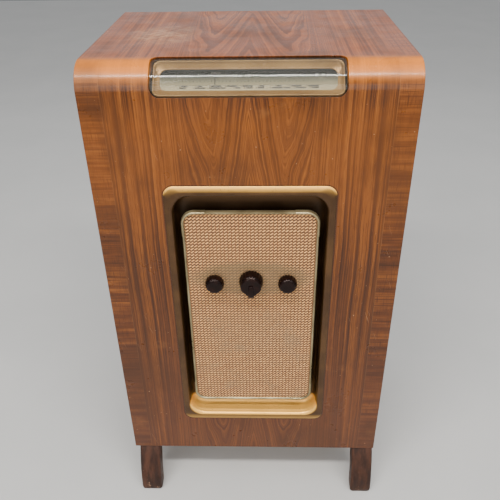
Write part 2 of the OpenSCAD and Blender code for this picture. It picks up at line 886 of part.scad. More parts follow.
// Two-groove drum that pulls the pointer and is turned by the tuning spindle
module drive_drum() {
    lo = drum_y - drum_half;
    hi = drum_y + drum_half;
    rim = drum_r + rim_h;
    in_cabinet() color("khaki") difference() {
        turned(concat([[spindle_r, lo], [9, lo], [9, drum_y - 1], [rim - 10, drum_y - 1],
                       [rim - 10, lo], [rim, lo]],
                      groove(drum_r, pointer_cord_y), groove(drum_r, tuning_cord_y),
                      [[rim, hi], [rim - 10, hi], [rim - 10, drum_y + 1], [9, drum_y + 1],
                       [9, hi], [spindle_r, hi]]), 0, drum_z);
        for (a = [0 : 60 : 300]) translate([0, 0, drum_z]) rotate([0, a, 0])
            rod(12, [lo, hi], 36, 0);
    }
}

module mains_transformer() {
    in_cabinet() color("dimgray") {
        block([98, 168], [228, 272], [deck_z, deck_z + 84]);
        block([108, 158], [214, 286], [deck_z + 14, deck_z + 70]);
    }
}

module smoothing_can() {
    in_cabinet() color("silver") translate([60, 262, deck_z]) cylinder(r = 17.5, h = 78);
}

module if_cans() {
    in_cabinet() color("silver") for (p = if_can_at) translate([p[0], p[1], deck_z])
        linear_extrude(70) rounded(32, 32, 4);
}

module valve_bases() {
    in_cabinet() color("#2a1a14") for (p = valve_at) translate([p[0], p[1], deck_z]) {
        cylinder(r = 17, h = 4);
        cylinder(r = 15.5, h = 18);
    }
}

module valve_glass() {
    in_cabinet() color("lightsteelblue") for (p = valve_at)
        translate([p[0], p[1], deck_z + 18]) {
            cylinder(r1 = 13, r2 = 18, h = 18);
            translate([0, 0, 18]) cylinder(r = 18, h = 30);
            translate([0, 0, 48]) sphere(18);
        }
}

module output_transformer() {
    in_cabinet() color("dimgray") {
        y = recess_d + baffle_t;
        block([112, 158], [y, y + 22], [speaker_z - 20, speaker_z + 20]);
        block([121, 149], [y, y + 36], [speaker_z - 13, speaker_z + 13]);
    }
}

// Insulating strip with aerial, earth and gramophone sockets on the back of the chassis
module socket_panel() {
    y = [chassis_y[1], chassis_y[1] + 3];
    in_cabinet() color("peru") difference() {
        block([-136, -44], y, [socket_z - 13, socket_z + 13]);
        for (x = socket_x) rod(socket_r, [y[0] - 1, y[1] + 1], x, socket_z);
    }
}

// ---- Loudspeaker ----

module speaker_basket() {
    r = speaker_d / 2;
    y = speaker_y;
    in_cabinet() color("dimgray") difference() {
        turned([[speaker_hole_r, y], [r, y], [r, y + 2.5], [91, y + 2.5], [44, y + 51],
                [20, y + 51], [20, y + 49], [43, y + 49], [speaker_hole_r, y + 2.5]],
               0, speaker_z);
        for (a = [45 : 90 : 315]) translate([0, 0, speaker_z]) rotate([0, a, 0])
            block([50, 80], [y + 4, y + 60], [-18, 18]);
    }
}

// Gasket on the rim with the half roll that the cone's edge works in
module speaker_edge() {
    y = speaker_y - edge_t;
    in_cabinet() color("tan")
        turned([[speaker_hole_r - 2.4, y + 0.8], [speaker_hole_r, y], [speaker_d / 2, y],
                [speaker_d / 2, y + edge_t], [speaker_hole_r, y + edge_t],
                [speaker_hole_r - 2.4, y + 1.6]], 0, speaker_z);
}

module speaker_magnet() {
    y = speaker_y + 51;
    in_cabinet() color("silver") difference() {
        rod(40, [y, y + 32], 0, speaker_z);
        difference() {
            rod(13.8, [y - 1, y + 14], 0, speaker_z);
            rod(11.8, [y - 2, y + 15], 0, speaker_z);
        }
    }
}

// Paper cone with its coil former and dust cap
module speaker_cone() {
    y = speaker_y;
    in_cabinet() color("#3b3530")
        turned([[84, y + 4], [85, y + 4], [14, y + 44], [13.3, y + 60], [12.3, y + 60],
                [12.3, y + 43], [0, y + 39], [0, y + 38], [13, y + 42]], 0, speaker_z);
}

front_top_panel();
side_panel_left();
side_panel_right();
base_board();
chassis_shelf();
battens();
corner_blocks();
back_cover();
back_cover_screws();
mains_grommet();
front_leg_left();
front_leg_right();
rear_leg_left();
rear_leg_right();
surround_trough();
speaker_baffle();
grille_board();
grille_cloth();
grille_spacers();
trim_ends();
trim_sides();
trim_corners();
dial_cover();
dial_bezel();
dial_scale();
dial_tray();
pointer_rail();
dial_pointer();
dial_lamps();
pulley_left();
pulley_right();
pointer_cord();
tuning_cord();
volume_knob();
volume_spindle();
tuning_knob();
tuning_spindle();
wave_knob();
wave_spindle();
tone_knob();
tone_spindle();
chassis_pan();
volume_control();
tone_control();
wave_switch();
gang_frame();
gang_stator();
gang_rotor();
drive_drum();
mains_transformer();
smoothing_can();
if_cans();
valve_bases();
valve_glass();
output_transformer();
socket_panel();
speaker_basket();
speaker_edge();
speaker_magnet();
speaker_cone();
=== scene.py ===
"""Console radio: the visual model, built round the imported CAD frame.

Metres. X to the right, Y to the back, Z up, as in the frame.
"""

import math
import random

import bmesh
import bpy
import numpy as np
from mathutils import Matrix, Vector


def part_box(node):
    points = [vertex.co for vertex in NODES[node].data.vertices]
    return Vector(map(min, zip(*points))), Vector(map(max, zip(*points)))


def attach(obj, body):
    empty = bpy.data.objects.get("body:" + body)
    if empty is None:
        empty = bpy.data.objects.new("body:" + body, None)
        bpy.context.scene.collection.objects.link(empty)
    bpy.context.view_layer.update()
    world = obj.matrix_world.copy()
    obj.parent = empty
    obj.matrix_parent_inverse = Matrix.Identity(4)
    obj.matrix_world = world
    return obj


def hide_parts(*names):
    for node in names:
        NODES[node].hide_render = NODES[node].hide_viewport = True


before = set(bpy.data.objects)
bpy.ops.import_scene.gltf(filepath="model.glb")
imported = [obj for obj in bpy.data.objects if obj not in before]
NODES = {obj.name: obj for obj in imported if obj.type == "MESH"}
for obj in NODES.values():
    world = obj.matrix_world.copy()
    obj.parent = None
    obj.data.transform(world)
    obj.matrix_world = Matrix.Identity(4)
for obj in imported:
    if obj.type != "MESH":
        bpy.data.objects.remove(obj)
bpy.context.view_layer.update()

MM = 0.001
PANEL_LOW, PANEL_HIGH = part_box("front_top_panel")
FRONT = PANEL_LOW[1]
BACK = PANEL_HIGH[1]
BASE = PANEL_LOW[2]
TOP = PANEL_HIGH[2]
HALF_W = PANEL_HIGH[0]
SURROUND_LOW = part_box("surround_trough")[0][2]
SURROUND_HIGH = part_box("surround_trough")[1][2]
SURROUND_Z = (SURROUND_LOW + SURROUND_HIGH) / 2
SPINDLE_LOW, SPINDLE_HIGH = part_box("volume_spindle")
KNOB_Z = (SPINDLE_LOW[2] + SPINDLE_HIGH[2]) / 2
KNOB_GAP = 65 * MM
BOARD = 18 * MM
BEND = 42 * MM
BEND_Y = FRONT + BEND
BEND_Z = TOP - BEND
ARC_MID = BEND_Z + BEND * math.pi / 4
ARC_END = BEND_Z + BEND * math.pi / 2
QUARTERS = ((1, 1), (-1, 1), (-1, -1), (1, -1))


# ---------------------------------------------------------------- geometry helpers


def link(name, mesh, material=None):
    """A new object for this mesh, in the scene."""
    obj = bpy.data.objects.new(name, mesh)
    bpy.context.scene.collection.objects.link(obj)
    if material:
        mesh.materials.append(material)
    return obj


def raw_mesh(name, verts, faces, smooth=35.0):
    """A mesh with its normals outwards, smooth but for edges sharper than the angle."""
    mesh = bpy.data.meshes.new(name)
    mesh.from_pydata([tuple(float(c) for c in v) for v in verts], [], faces)
    bm = bmesh.new()
    bm.from_mesh(mesh)
    bmesh.ops.remove_doubles(bm, verts=bm.verts, dist=1e-6)
    bmesh.ops.recalc_face_normals(bm, faces=bm.faces)
    bm.to_mesh(mesh)
    bm.free()
    for poly in mesh.polygons:
        poly.use_smooth = True
    mesh.set_sharp_from_angle(angle=math.radians(smooth))
    return mesh


def join_shells(shells):
    """One list of vertices and faces from several."""
    verts, faces = [], []
    for v, f in shells:
        start = len(verts)
        verts += list(v)
        faces += [tuple(start + i for i in face) for face in f]
    return verts, faces


def loft(loops, closed=False):
    """Faces between loops of equal length, with a cap at each end, or with the last loop
    joined to the first if it is closed."""
    n = len(loops[0])
    verts = [p for loop in loops for p in loop]
    faces = []
    for i in range(len(loops) if closed else len(loops) - 1):
        a, b = i * n, ((i + 1) % len(loops)) * n
        for j in range(n):
            k = (j + 1) % n
            faces.append((a + j, a + k, b + k, b + j))
    if not closed:
        faces.append(tuple(range(n))[::-1])
        faces.append(tuple((len(loops) - 1) * n + j for j in range(n)))
    return verts, faces


def corner_arcs(w, h, r, steps):
    """Corner arcs of a rectangle with round corners, counter-clockwise, as pairs of a point
    and its outward normal."""
    points = []
    for turn, (sx, sy) in enumerate(QUARTERS):
        for i in range(steps + 1):
            a = math.radians(90 * turn + 90 * i / steps)
            n = (math.cos(a), math.sin(a))
            points.append(((sx * (w / 2 - r) + r * n[0], sy * (h / 2 - r) + r * n[1]), n))
    return points


def rounded_rect(w, h, r, steps=10):
    """The outline of a rectangle with round corners, as (x, y)."""
    return [point for point, _ in corner_arcs(w, h, r, steps)]


def finish_mesh(obj, bevel=0.0, segments=2, angle=35.0, weighted=False):
    """Applies the object's modifiers, with a bevel on its sharp edges."""
    if bevel:
        mod = obj.modifiers.new("bevel", "BEVEL")
        mod.width = bevel
        mod.segments = segments
        mod.limit_method = "ANGLE"
        mod.angle_limit = math.radians(angle)
        mod.harden_normals = False
    if weighted:
        mod = obj.modifiers.new("normals", "WEIGHTED_NORMAL")
        mod.keep_sharp = False
        mod.weight = 100
    graph = bpy.context.evaluated_depsgraph_get()
    mesh = bpy.data.meshes.new_from_object(obj.evaluated_get(graph))
    old = obj.data
    obj.modifiers.clear()
    obj.data = mesh
    bpy.data.meshes.remove(old)
    return obj


def cut(obj, cutters):
    """Cuts each cutter out of the object, and removes the cutters."""
    for cutter in cutters:
        mod = obj.modifiers.new("cut", "BOOLEAN")
        mod.operation = "DIFFERENCE"
        mod.solver = "EXACT"
        mod.object = cutter
    finish_mesh(obj)
    for cutter in cutters:
        bpy.data.objects.remove(cutter)
    for poly in obj.data.polygons:
        poly.use_smooth = True
    obj.data.set_sharp_from_angle(angle=math.radians(35))


def place(obj, body, slot, *replaces):
    """Puts the piece on its body, and hides the nodes it stands for."""
    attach(obj, body)
    if replaces:
        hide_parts(*replaces)
    return obj


def dial_point(u, v, w):
    """A point on the dial's slope: u across, v up the slope, w outwards."""
    half = 24 * MM
    c = math.sqrt(0.5)
    return (u, FRONT + half + c * (v - w), TOP - half + c * (v + w))


# ---------------------------------------------------------------- node helpers


class Shader:
    """A node-based material with one Principled shader."""

    def __init__(self, name):
        self.material = bpy.data.materials.new(name)
        self.material.use_nodes = True
        self.tree = self.material.node_tree
        self.principled = self.tree.nodes["Principled BSDF"]

    def node(self, kind, **settings):
        """A node of this kind, with its settings."""
        n = self.tree.nodes.new(kind)
        for key, value in settings.items():
            setattr(n, key, value)
        return n

    def feed(self, socket, value):
        """Links a socket to the input, or sets the input to a number or a colour."""
        if isinstance(value, bpy.types.NodeSocket):
            self.tree.links.new(value, socket)
        elif hasattr(value, "__len__") and len(value) == 3 and socket.type == "RGBA":
            socket.default_value = (*value, 1.0)
        else:
            socket.default_value = value

    def set(self, **values):
        """Feeds the shader's own inputs, named with _ for each space."""
        for key, value in values.items():
            self.feed(self.principled.inputs[key.replace("_", " ")], value)
        return self

    def math(self, operation, a, b=0.0):
        n = self.node("ShaderNodeMath", operation=operation)
        for socket, value in zip(n.inputs, (a, b)):
            self.feed(socket, value)
        return n.outputs[0]

    def add(self, a, b):
        return self.math("ADD", a, b)

    def sub(self, a, b):
        return self.math("SUBTRACT", a, b)

    def mul(self, a, b):
        return self.math("MULTIPLY", a, b)

    def step(self, value, low, high, out_low=0.0, out_high=1.0):
        """Smooth change from out_low to out_high as value goes from low to high."""
        n = self.node("ShaderNodeMapRange", interpolation_type="SMOOTHSTEP")
        for key, v in zip(("Value", "From Min", "From Max", "To Min", "To Max"),
                          (value, low, high, out_low, out_high)):
            self.feed(n.inputs[key], v)
        return n.outputs[0]

    def mix(self, factor, a, b):
        """Colour a, or colour b where the factor is 1."""
        n = self.node("ShaderNodeMix", data_type="RGBA")
        self.feed(n.inputs[0], factor)
        self.feed(n.inputs[6], a if isinstance(a, bpy.types.NodeSocket) else (*a, 1.0))
        self.feed(n.inputs[7], b if isinstance(b, bpy.types.NodeSocket) else (*b, 1.0))
        return n.outputs[2]

    def ramp(self, value, stops):
        """A colour ramp through stops of position and colour."""
        n = self.node("ShaderNodeValToRGB")
        elements = n.color_ramp.elements
        while len(elements) < len(stops):
            elements.new(0.5)
        for element, (position, color) in zip(elements, stops):
            element.position = position
            element.color = (*color, 1.0)
        self.feed(n.inputs[0], value)
        return n.outputs[0]

    def noise(self, vector, scale, detail=3.0, rough=0.5, distortion=0.0):
        n = self.node("ShaderNodeTexNoise")
        self.feed(n.inputs["Vector"], vector)
        for key, v in (("Scale", scale), ("Detail", detail), ("Roughness", rough),
                       ("Distortion", distortion)):
            n.inputs[key].default_value = v
        return n.outputs[0]

    def vector(self, x, y, z):
        n = self.node("ShaderNodeCombineXYZ")
        for socket, v in zip(n.inputs, (x, y, z)):
            self.feed(socket, v)
        return n.outputs[0]

    def position(self):
        """Object coordinates, which are the frame's, as three sockets and their vector."""
        coord = self.node("ShaderNodeTexCoord").outputs["Object"]
        return coord, self.split(coord)

    def split(self, vector):
        """The three parts of a vector."""
        n = self.node("ShaderNodeSeparateXYZ")
        self.feed(n.inputs[0], vector)
        return n.outputs[0], n.outputs[1], n.outputs[2]

    def bump(self, height, strength, distance):
        """Bumps the shader's surface by the height."""
        n = self.node("ShaderNodeBump")
        n.inputs["Strength"].default_value = strength
        n.inputs["Distance"].default_value = distance
        self.feed(n.inputs["Height"], height)
        self.feed(self.principled.inputs["Normal"], n.outputs[0])
        return self


# ---------------------------------------------------------------- materials


BAND_X = 224.0 * MM
LEAF_X = 61.5 * MM
RIM_X = 125.0 * MM
RIM_Z = 252.5 * MM


def veneer_material(name, mapped=True):
    """Book-matched crown walnut with cross-banded edges, under worn gloss lacquer. mapped is
    for the case, whose map runs up the front and back along the top."""
    s = Shader(name)
    if mapped:
        uv = s.node("ShaderNodeUVMap", uv_map="veneer").outputs[0]
        x, run, _ = s.split(uv)
    else:
        _, (_, x, run) = s.position()
    across = s.math("ABSOLUTE", x)
    wander = s.noise(s.vector(s.mul(across, 3.0), s.mul(run, 1.3), 0.7), 2.2, 4.0, 0.55)
    wander = s.sub(wander, 0.5)
    # the crown opens upwards: rings are hyperbolas about an axis on each leaf
    ripple = s.noise(s.vector(s.mul(across, 26.0), s.mul(run, 7.0), 4.4), 1.0, 3.0, 0.6)
    ripple = s.sub(ripple, 0.5)
    lean = s.add(s.sub(across, LEAF_X), s.mul(wander, 0.034))
    width = s.math("SQRT", s.add(s.math("POWER", lean, 2.0), 0.00010))
    rings = s.sub(width, s.mul(run, 0.150))
    rings = s.add(rings, s.add(s.mul(wander, 0.040), s.mul(ripple, 0.012)))
    fade = s.step(across, 0.095, 0.150)
    straight = s.add(across, s.mul(wander, 0.012))
    field = s.node("ShaderNodeMix", data_type="FLOAT")
    s.feed(field.inputs[0], fade)
    s.feed(field.inputs[2], rings)
    s.feed(field.inputs[3], straight)
    field = field.outputs[0]
    broad = s.noise(s.vector(s.mul(field, 80.0), s.mul(run, 0.8), 3.1), 1.0, 2.0, 0.5)
    middle = s.noise(s.vector(s.mul(field, 240.0), s.mul(run, 1.4), 5.9), 1.0, 2.0, 0.5)
    fine = s.noise(s.vector(s.mul(field, 620.0), s.mul(run, 3.0), 8.4), 1.0, 3.0, 0.6)
    pores = s.noise(s.vector(s.mul(x, 1500.0), s.mul(run, 38.0), 1.2), 1.0, 1.0, 0.5)
    tone = s.add(s.mul(broad, 0.26), s.add(s.mul(middle, 0.32), s.mul(fine, 0.42)))
    wood = s.ramp(tone, [(0.39, (0.030, 0.008, 0.001)), (0.46, (0.082, 0.022, 0.002)),
                         (0.54, (0.160, 0.046, 0.005)), (0.62, (0.270, 0.086, 0.011))])
    streak = s.noise(s.vector(s.mul(field, 330.0), s.mul(run, 2.2), 6.6), 1.0, 1.0, 0.5)
    wood = s.mix(s.mul(s.step(streak, 0.56, 0.68), 0.42), wood, (0.028, 0.007, 0.001))
    # cross-banding: grain across, in short leaves
    leaf = s.noise(s.vector(s.mul(x, 6.0), s.mul(run, 120.0), 5.5), 1.0, 4.0, 0.6)
    patch = s.noise(s.vector(0.0, s.mul(run, 8.0), 2.5), 1.0, 1.0, 0.5)
    hair = s.noise(s.vector(s.mul(x, 9.0), s.mul(run, 420.0), 7.5), 1.0, 2.0, 0.6)
    band = s.ramp(s.add(s.mul(leaf, 0.62), s.mul(patch, 0.38)),
                  [(0.38, (0.040, 0.010, 0.001)), (0.50, (0.105, 0.028, 0.003)),
                   (0.62, (0.205, 0.062, 0.008))])
    band = s.mix(s.mul(s.step(hair, 0.54, 0.68), 0.60), band, (0.020, 0.005, 0.001))
    edge = s.step(across, BAND_X - 0.2 * MM, BAND_X + 0.2 * MM)
    wood = s.mix(edge, wood, band)
    # a pale line of stringing where the bands meet the leaves
    line = s.mul(s.step(across, BAND_X - 1.2 * MM, BAND_X - 0.6 * MM),
                 s.step(across, BAND_X + 0.6 * MM, BAND_X))
    wood = s.mix(s.mul(line, 0.18), wood, (0.40, 0.18, 0.06))
    wood = s.mix(s.mul(s.step(pores, 0.56, 0.68), 0.66), wood, (0.022, 0.005, 0.001))
    # the top is painted pinker and paler, as painted light from above; the foot of the front darker
    if mapped:
        upper = s.step(run, ARC_END - 12 * MM, ARC_END + 10 * MM)
        wood = s.mix(s.mul(upper, 0.30), wood, (0.520, 0.135, 0.050))
        seam = s.mul(upper, s.step(s.add(middle, s.mul(broad, 0.6)), 0.82, 0.70))
        wood = s.mix(s.mul(seam, 0.40), wood, (0.040, 0.010, 0.002))
        # a paler band painted on the upper front below the bend: painted light, none on the top
        painted_light_band = s.mul(s.step(run, 0.58, 0.78), s.step(run, 0.90, 0.84))
        painted_light_band = s.mul(painted_light_band, s.sub(0.22, s.mul(upper, 0.22)))
        wood = s.mix(painted_light_band, wood, (0.330, 0.095, 0.008))
        low = s.step(run, 0.62, 0.13)
        wood = s.mix(s.mul(low, 0.45), wood, (0.100, 0.032, 0.013))
        # a painted highlight over the bend: paler orange where the overhead light reflects
        bend = s.step(s.math("ABSOLUTE", s.sub(run, ARC_MID + 10 * MM)), 0.035, 0.008)
        wood = s.mix(s.mul(bend, 0.55), wood, (0.850, 0.255, 0.022))
        # a line of old polish and shadow round the moulding
        corner_x = s.math("MAXIMUM", s.sub(across, RIM_X), 0.0)
        corner_z = s.sub(s.math("ABSOLUTE", s.sub(run, SURROUND_Z)), RIM_Z)
        corner_z = s.math("MAXIMUM", corner_z, 0.0)
        reach = s.math("SQRT", s.add(s.mul(corner_x, corner_x), s.mul(corner_z, corner_z)))
        rim = s.step(reach, 0.0212, 0.0188)
        wood = s.mix(s.mul(rim, 0.75), wood, (0.030, 0.010, 0.004))
    # rubbed patches and small marks
    coord = s.vector(x, run, 0.0)
    worn = s.step(s.noise(coord, 9.0, 5.0, 0.65), 0.60, 0.74)
    wood = s.mix(s.mul(worn, 0.16), wood, (0.40, 0.17, 0.05))
    cloudy = s.noise(s.vector(s.mul(x, 1.6), s.mul(run, 0.7), 9.0), 7.0, 4.0, 0.6)
    cloudy = s.step(cloudy, 0.46, 0.66)
    wood = s.mix(s.mul(cloudy, 0.46), wood, (0.048, 0.014, 0.002))
    specks = s.step(s.noise(coord, 210.0, 2.0, 0.5), 0.745, 0.77)
    wood = s.mix(s.mul(specks, 0.55), wood, (0.60, 0.36, 0.20))
    # the worn patch on the top's left, and scratches that run askew
    if mapped:
        rub_x = s.math("POWER", s.mul(s.add(x, 0.150), 14.0), 2.0)
        rub_y = s.math("POWER", s.mul(s.sub(run, ARC_END + 0.155), 13.0), 2.0)
        rub = s.step(s.add(s.add(rub_x, rub_y), s.mul(s.noise(coord, 24.0, 5.0, 0.75), 2.6)),
                     2.35, 1.15)
        sweep = s.vector(s.mul(s.add(x, s.mul(run, 0.5)), 60.0),
                         s.mul(s.sub(run, s.mul(x, 0.5)), 190.0), 3.3)
        grit = s.step(s.noise(sweep, 1.0, 4.0, 0.7), 0.42, 0.64, 0.10, 0.62)
        wood = s.mix(s.mul(rub, grit), wood, (0.50, 0.29, 0.16))
    drag = s.noise(s.vector(s.mul(s.add(x, s.mul(run, 0.35)), 700.0),
                            s.mul(s.sub(run, s.mul(x, 0.35)), 16.0), 2.2), 1.0, 2.0, 0.5)
    drag = s.mul(s.step(drag, 0.72, 0.76), s.step(s.noise(coord, 5.0, 2.0, 0.5), 0.46, 0.60))
    wood = s.mix(s.mul(drag, 0.35), wood, (0.60, 0.36, 0.20))
    s.set(Base_Color=wood)
    haze = s.noise(coord, 14.0, 4.0, 0.6)
    s.set(Roughness=s.step(haze, 0.30, 0.75, 0.26, 0.44))
    s.principled.inputs["Specular IOR Level"].default_value = 0.30
    s.principled.inputs["Coat Weight"].default_value = 0.14
    s.principled.inputs["Coat Roughness"].default_value = 0.10
    s.bump(s.add(s.mul(fine, 0.5), s.mul(pores, 0.5)), 0.10, 0.0004)
    return s.material


def bare_wood(name, pale, dark, along="X", scale=1.0):
    """Unfinished board with a straight grain along one axis."""
    s = Shader(name)
    coord, (x, y, z) = s.position()
    axes = {"X": (4.0, 90.0, 90.0), "Y": (90.0, 4.0, 90.0), "Z": (90.0, 90.0, 4.0)}[along]
    grain = s.noise(s.vector(s.mul(x, axes[0] * scale), s.mul(y, axes[1] * scale),
                             s.mul(z, axes[2] * scale)), 1.0, 5.0, 0.6)
    blot = s.noise(coord, 12.0, 3.0, 0.5)
    color = s.mix(s.step(grain, 0.32, 0.68), dark, pale)
    color = s.mix(s.mul(s.step(blot, 0.45, 0.75), 0.3), color, dark)
    s.set(Base_Color=color, Roughness=0.72)
    s.bump(grain, 0.25, 0.0005)
    return s.material


def leg_material():
    """Dark stained wood with scuffs and pale chips near the floor."""
    s = Shader("leg_wood")
    _, (x, y, z) = s.position()
    grain = s.noise(s.vector(s.mul(x, 80.0), s.mul(y, 30.0), s.mul(z, 14.0)), 1.0, 4.0, 0.6)
    color = s.mix(s.step(grain, 0.35, 0.70), (0.018, 0.006, 0.003), (0.064, 0.023, 0.011))
    scuff = s.noise(s.vector(x, y, s.mul(z, 0.7)), 70.0, 5.0, 0.7)
    low = s.step(z, 0.060, 0.0)
    chips = s.step(s.add(scuff, s.mul(low, 0.10)), 0.66, 0.74)
    color = s.mix(s.mul(chips, 0.75), color, (0.330, 0.200, 0.130))
    s.set(Base_Color=color, Roughness=s.step(scuff, 0.35, 0.70, 0.42, 0.70))
    s.principled.inputs["Specular IOR Level"].default_value = 0.30
    s.bump(s.add(grain, s.mul(chips, -0.6)), 0.3, 0.0006)
    return s.material


def gold_material(name, light, dark, rough=0.34, metal=0.55, facing_up_highlight=None):
    """Gold or bronze finish, dulled and stained unevenly. The last colour is for the surround: a
    painted highlight where it faces up, with painted shade in its recess."""
    s = Shader(name)
    coord, (_, y, z) = s.position()
    cloud = s.noise(coord, 16.0, 5.0, 0.6)
    fine = s.noise(coord, 240.0, 3.0, 0.6)
    color = s.mix(s.step(cloud, 0.35, 0.68), dark, light)
    if facing_up_highlight:
        up = s.split(s.node("ShaderNodeNewGeometry").outputs["Normal"])[2]
        # painted shade: darker the deeper into the recess; painted bounce light lightens its upper
        # part again
        recess_shade = s.step(y, FRONT + 0.5 * MM, FRONT + 9 * MM)
        upper_recess_light = s.step(z, SURROUND_HIGH - 52 * MM, SURROUND_HIGH - 24 * MM)
        color = s.mix(s.mul(recess_shade, 0.66), color, [c * 0.15 for c in dark])
        color = s.mix(s.mul(recess_shade, s.mul(upper_recess_light, 0.75)), color, [c * 1.4 for c in light])
        # a painted highlight on the sill along the foot of the recess
        foot = s.mul(s.step(z, SURROUND_LOW + 16 * MM, SURROUND_LOW + 3 * MM), 0.55)
        color = s.mix(s.mul(foot, s.step(recess_shade, 0.2, 0.0)), color, [c * 0.7 for c in facing_up_highlight])
        # a painted highlight where the surface faces up, a little duller in the recess
        color = s.mix(s.step(s.add(up, s.mul(cloud, 0.04)), 0.04, 0.27), color,
                      s.mix(s.mul(recess_shade, 0.20), facing_up_highlight, [c * 2.2 for c in light]))
    color = s.mix(s.mul(s.step(fine, 0.62, 0.74), 0.4), color, [c * 0.45 for c in dark])
    s.set(Base_Color=color, Metallic=metal, Roughness=s.step(cloud, 0.3, 0.7, rough, rough + 0.16))
    s.bump(s.add(s.mul(cloud, 0.6), s.mul(fine, 0.3)), 0.12, 0.0006)
    return s.material


def metal_material(name, color, rough):
    """Plain metal with fine brushing and uneven tarnish."""
    s = Shader(name)
    coord, (x, y, z) = s.position()
    cloud = s.noise(coord, 30.0, 4.0, 0.6)
    brush = s.noise(s.vector(s.mul(x, 60.0), s.mul(y, 700.0), s.mul(z, 700.0)), 1.0, 2.0, 0.5)
    dark = [c * 0.65 for c in color]
    mixed = s.mix(s.step(cloud, 0.35, 0.70), dark, color)
    s.set(Base_Color=mixed, Metallic=1.0,
          Roughness=s.step(cloud, 0.3, 0.7, rough + 0.12, rough))
    s.bump(brush, 0.06, 0.0003)
    return s.material


def plastic_material(name, color, rough=0.3, scale=60.0, vary=0.25, depth=0.05):
    """Moulded plastic, board or painted finish with a slight mottle."""
    s = Shader(name)
    coord, _ = s.position()
    cloud = s.noise(coord, scale, 4.0, 0.6)
    fine = s.noise(coord, scale * 14, 2.0, 0.5)
    dark = [c * (1 - vary) for c in color]
    s.set(Base_Color=s.mix(s.step(cloud, 0.35, 0.68), dark, color),
          Roughness=s.step(cloud, 0.3, 0.7, rough, rough + 0.1))
    s.bump(s.add(s.mul(cloud, 0.4), s.mul(fine, 0.4)), depth, 0.0004)
    return s.material


def bakelite_material():
    """Very dark polished brown with a faint marbling."""
    s = Shader("bakelite")
    coord, _ = s.position()
    swirl = s.noise(coord, 90.0, 5.0, 0.6, 1.2)
    color = s.mix(s.step(swirl, 0.42, 0.72), (0.003, 0.001, 0.001), (0.010, 0.003, 0.002))
    s.set(Base_Color=color, Roughness=s.step(swirl, 0.3, 0.8, 0.07, 0.12))
    s.principled.inputs["Specular IOR Level"].default_value = 0.22
    s.principled.inputs["Specular Tint"].default_value = (0.90, 0.72, 0.68, 1.0)
    s.bump(swirl, 0.04, 0.0003)
    return s.material


def glass_material(name, tint, alpha_face, alpha_edge, rough):
    """Clear glass or plastic, made see-through by its alpha."""
    s = Shader(name)
    coord, _ = s.position()
    haze = s.noise(coord, 45.0, 4.0, 0.6)
    facing = s.node("ShaderNodeLayerWeight").outputs["Facing"]
    alpha = s.step(s.add(facing, s.mul(haze, 0.12)), 0.25, 0.95, alpha_face, alpha_edge)
    s.set(Base_Color=s.mix(haze, [c * 0.85 for c in tint], tint), Alpha=alpha,
          Roughness=s.step(haze, 0.35, 0.75, rough, rough + 0.08))
    s.principled.inputs["IOR"].default_value = 1.49
    s.principled.inputs["Specular IOR Level"].default_value = 1.0
    return s.material


WEAVE_X = 6.6 * MM
WEAVE_Z = 6.1 * MM
WEAVE_SLANT = 0.30
WEAVE_CURL = 0.10
WEAVE_RISE = 0.75 * MM


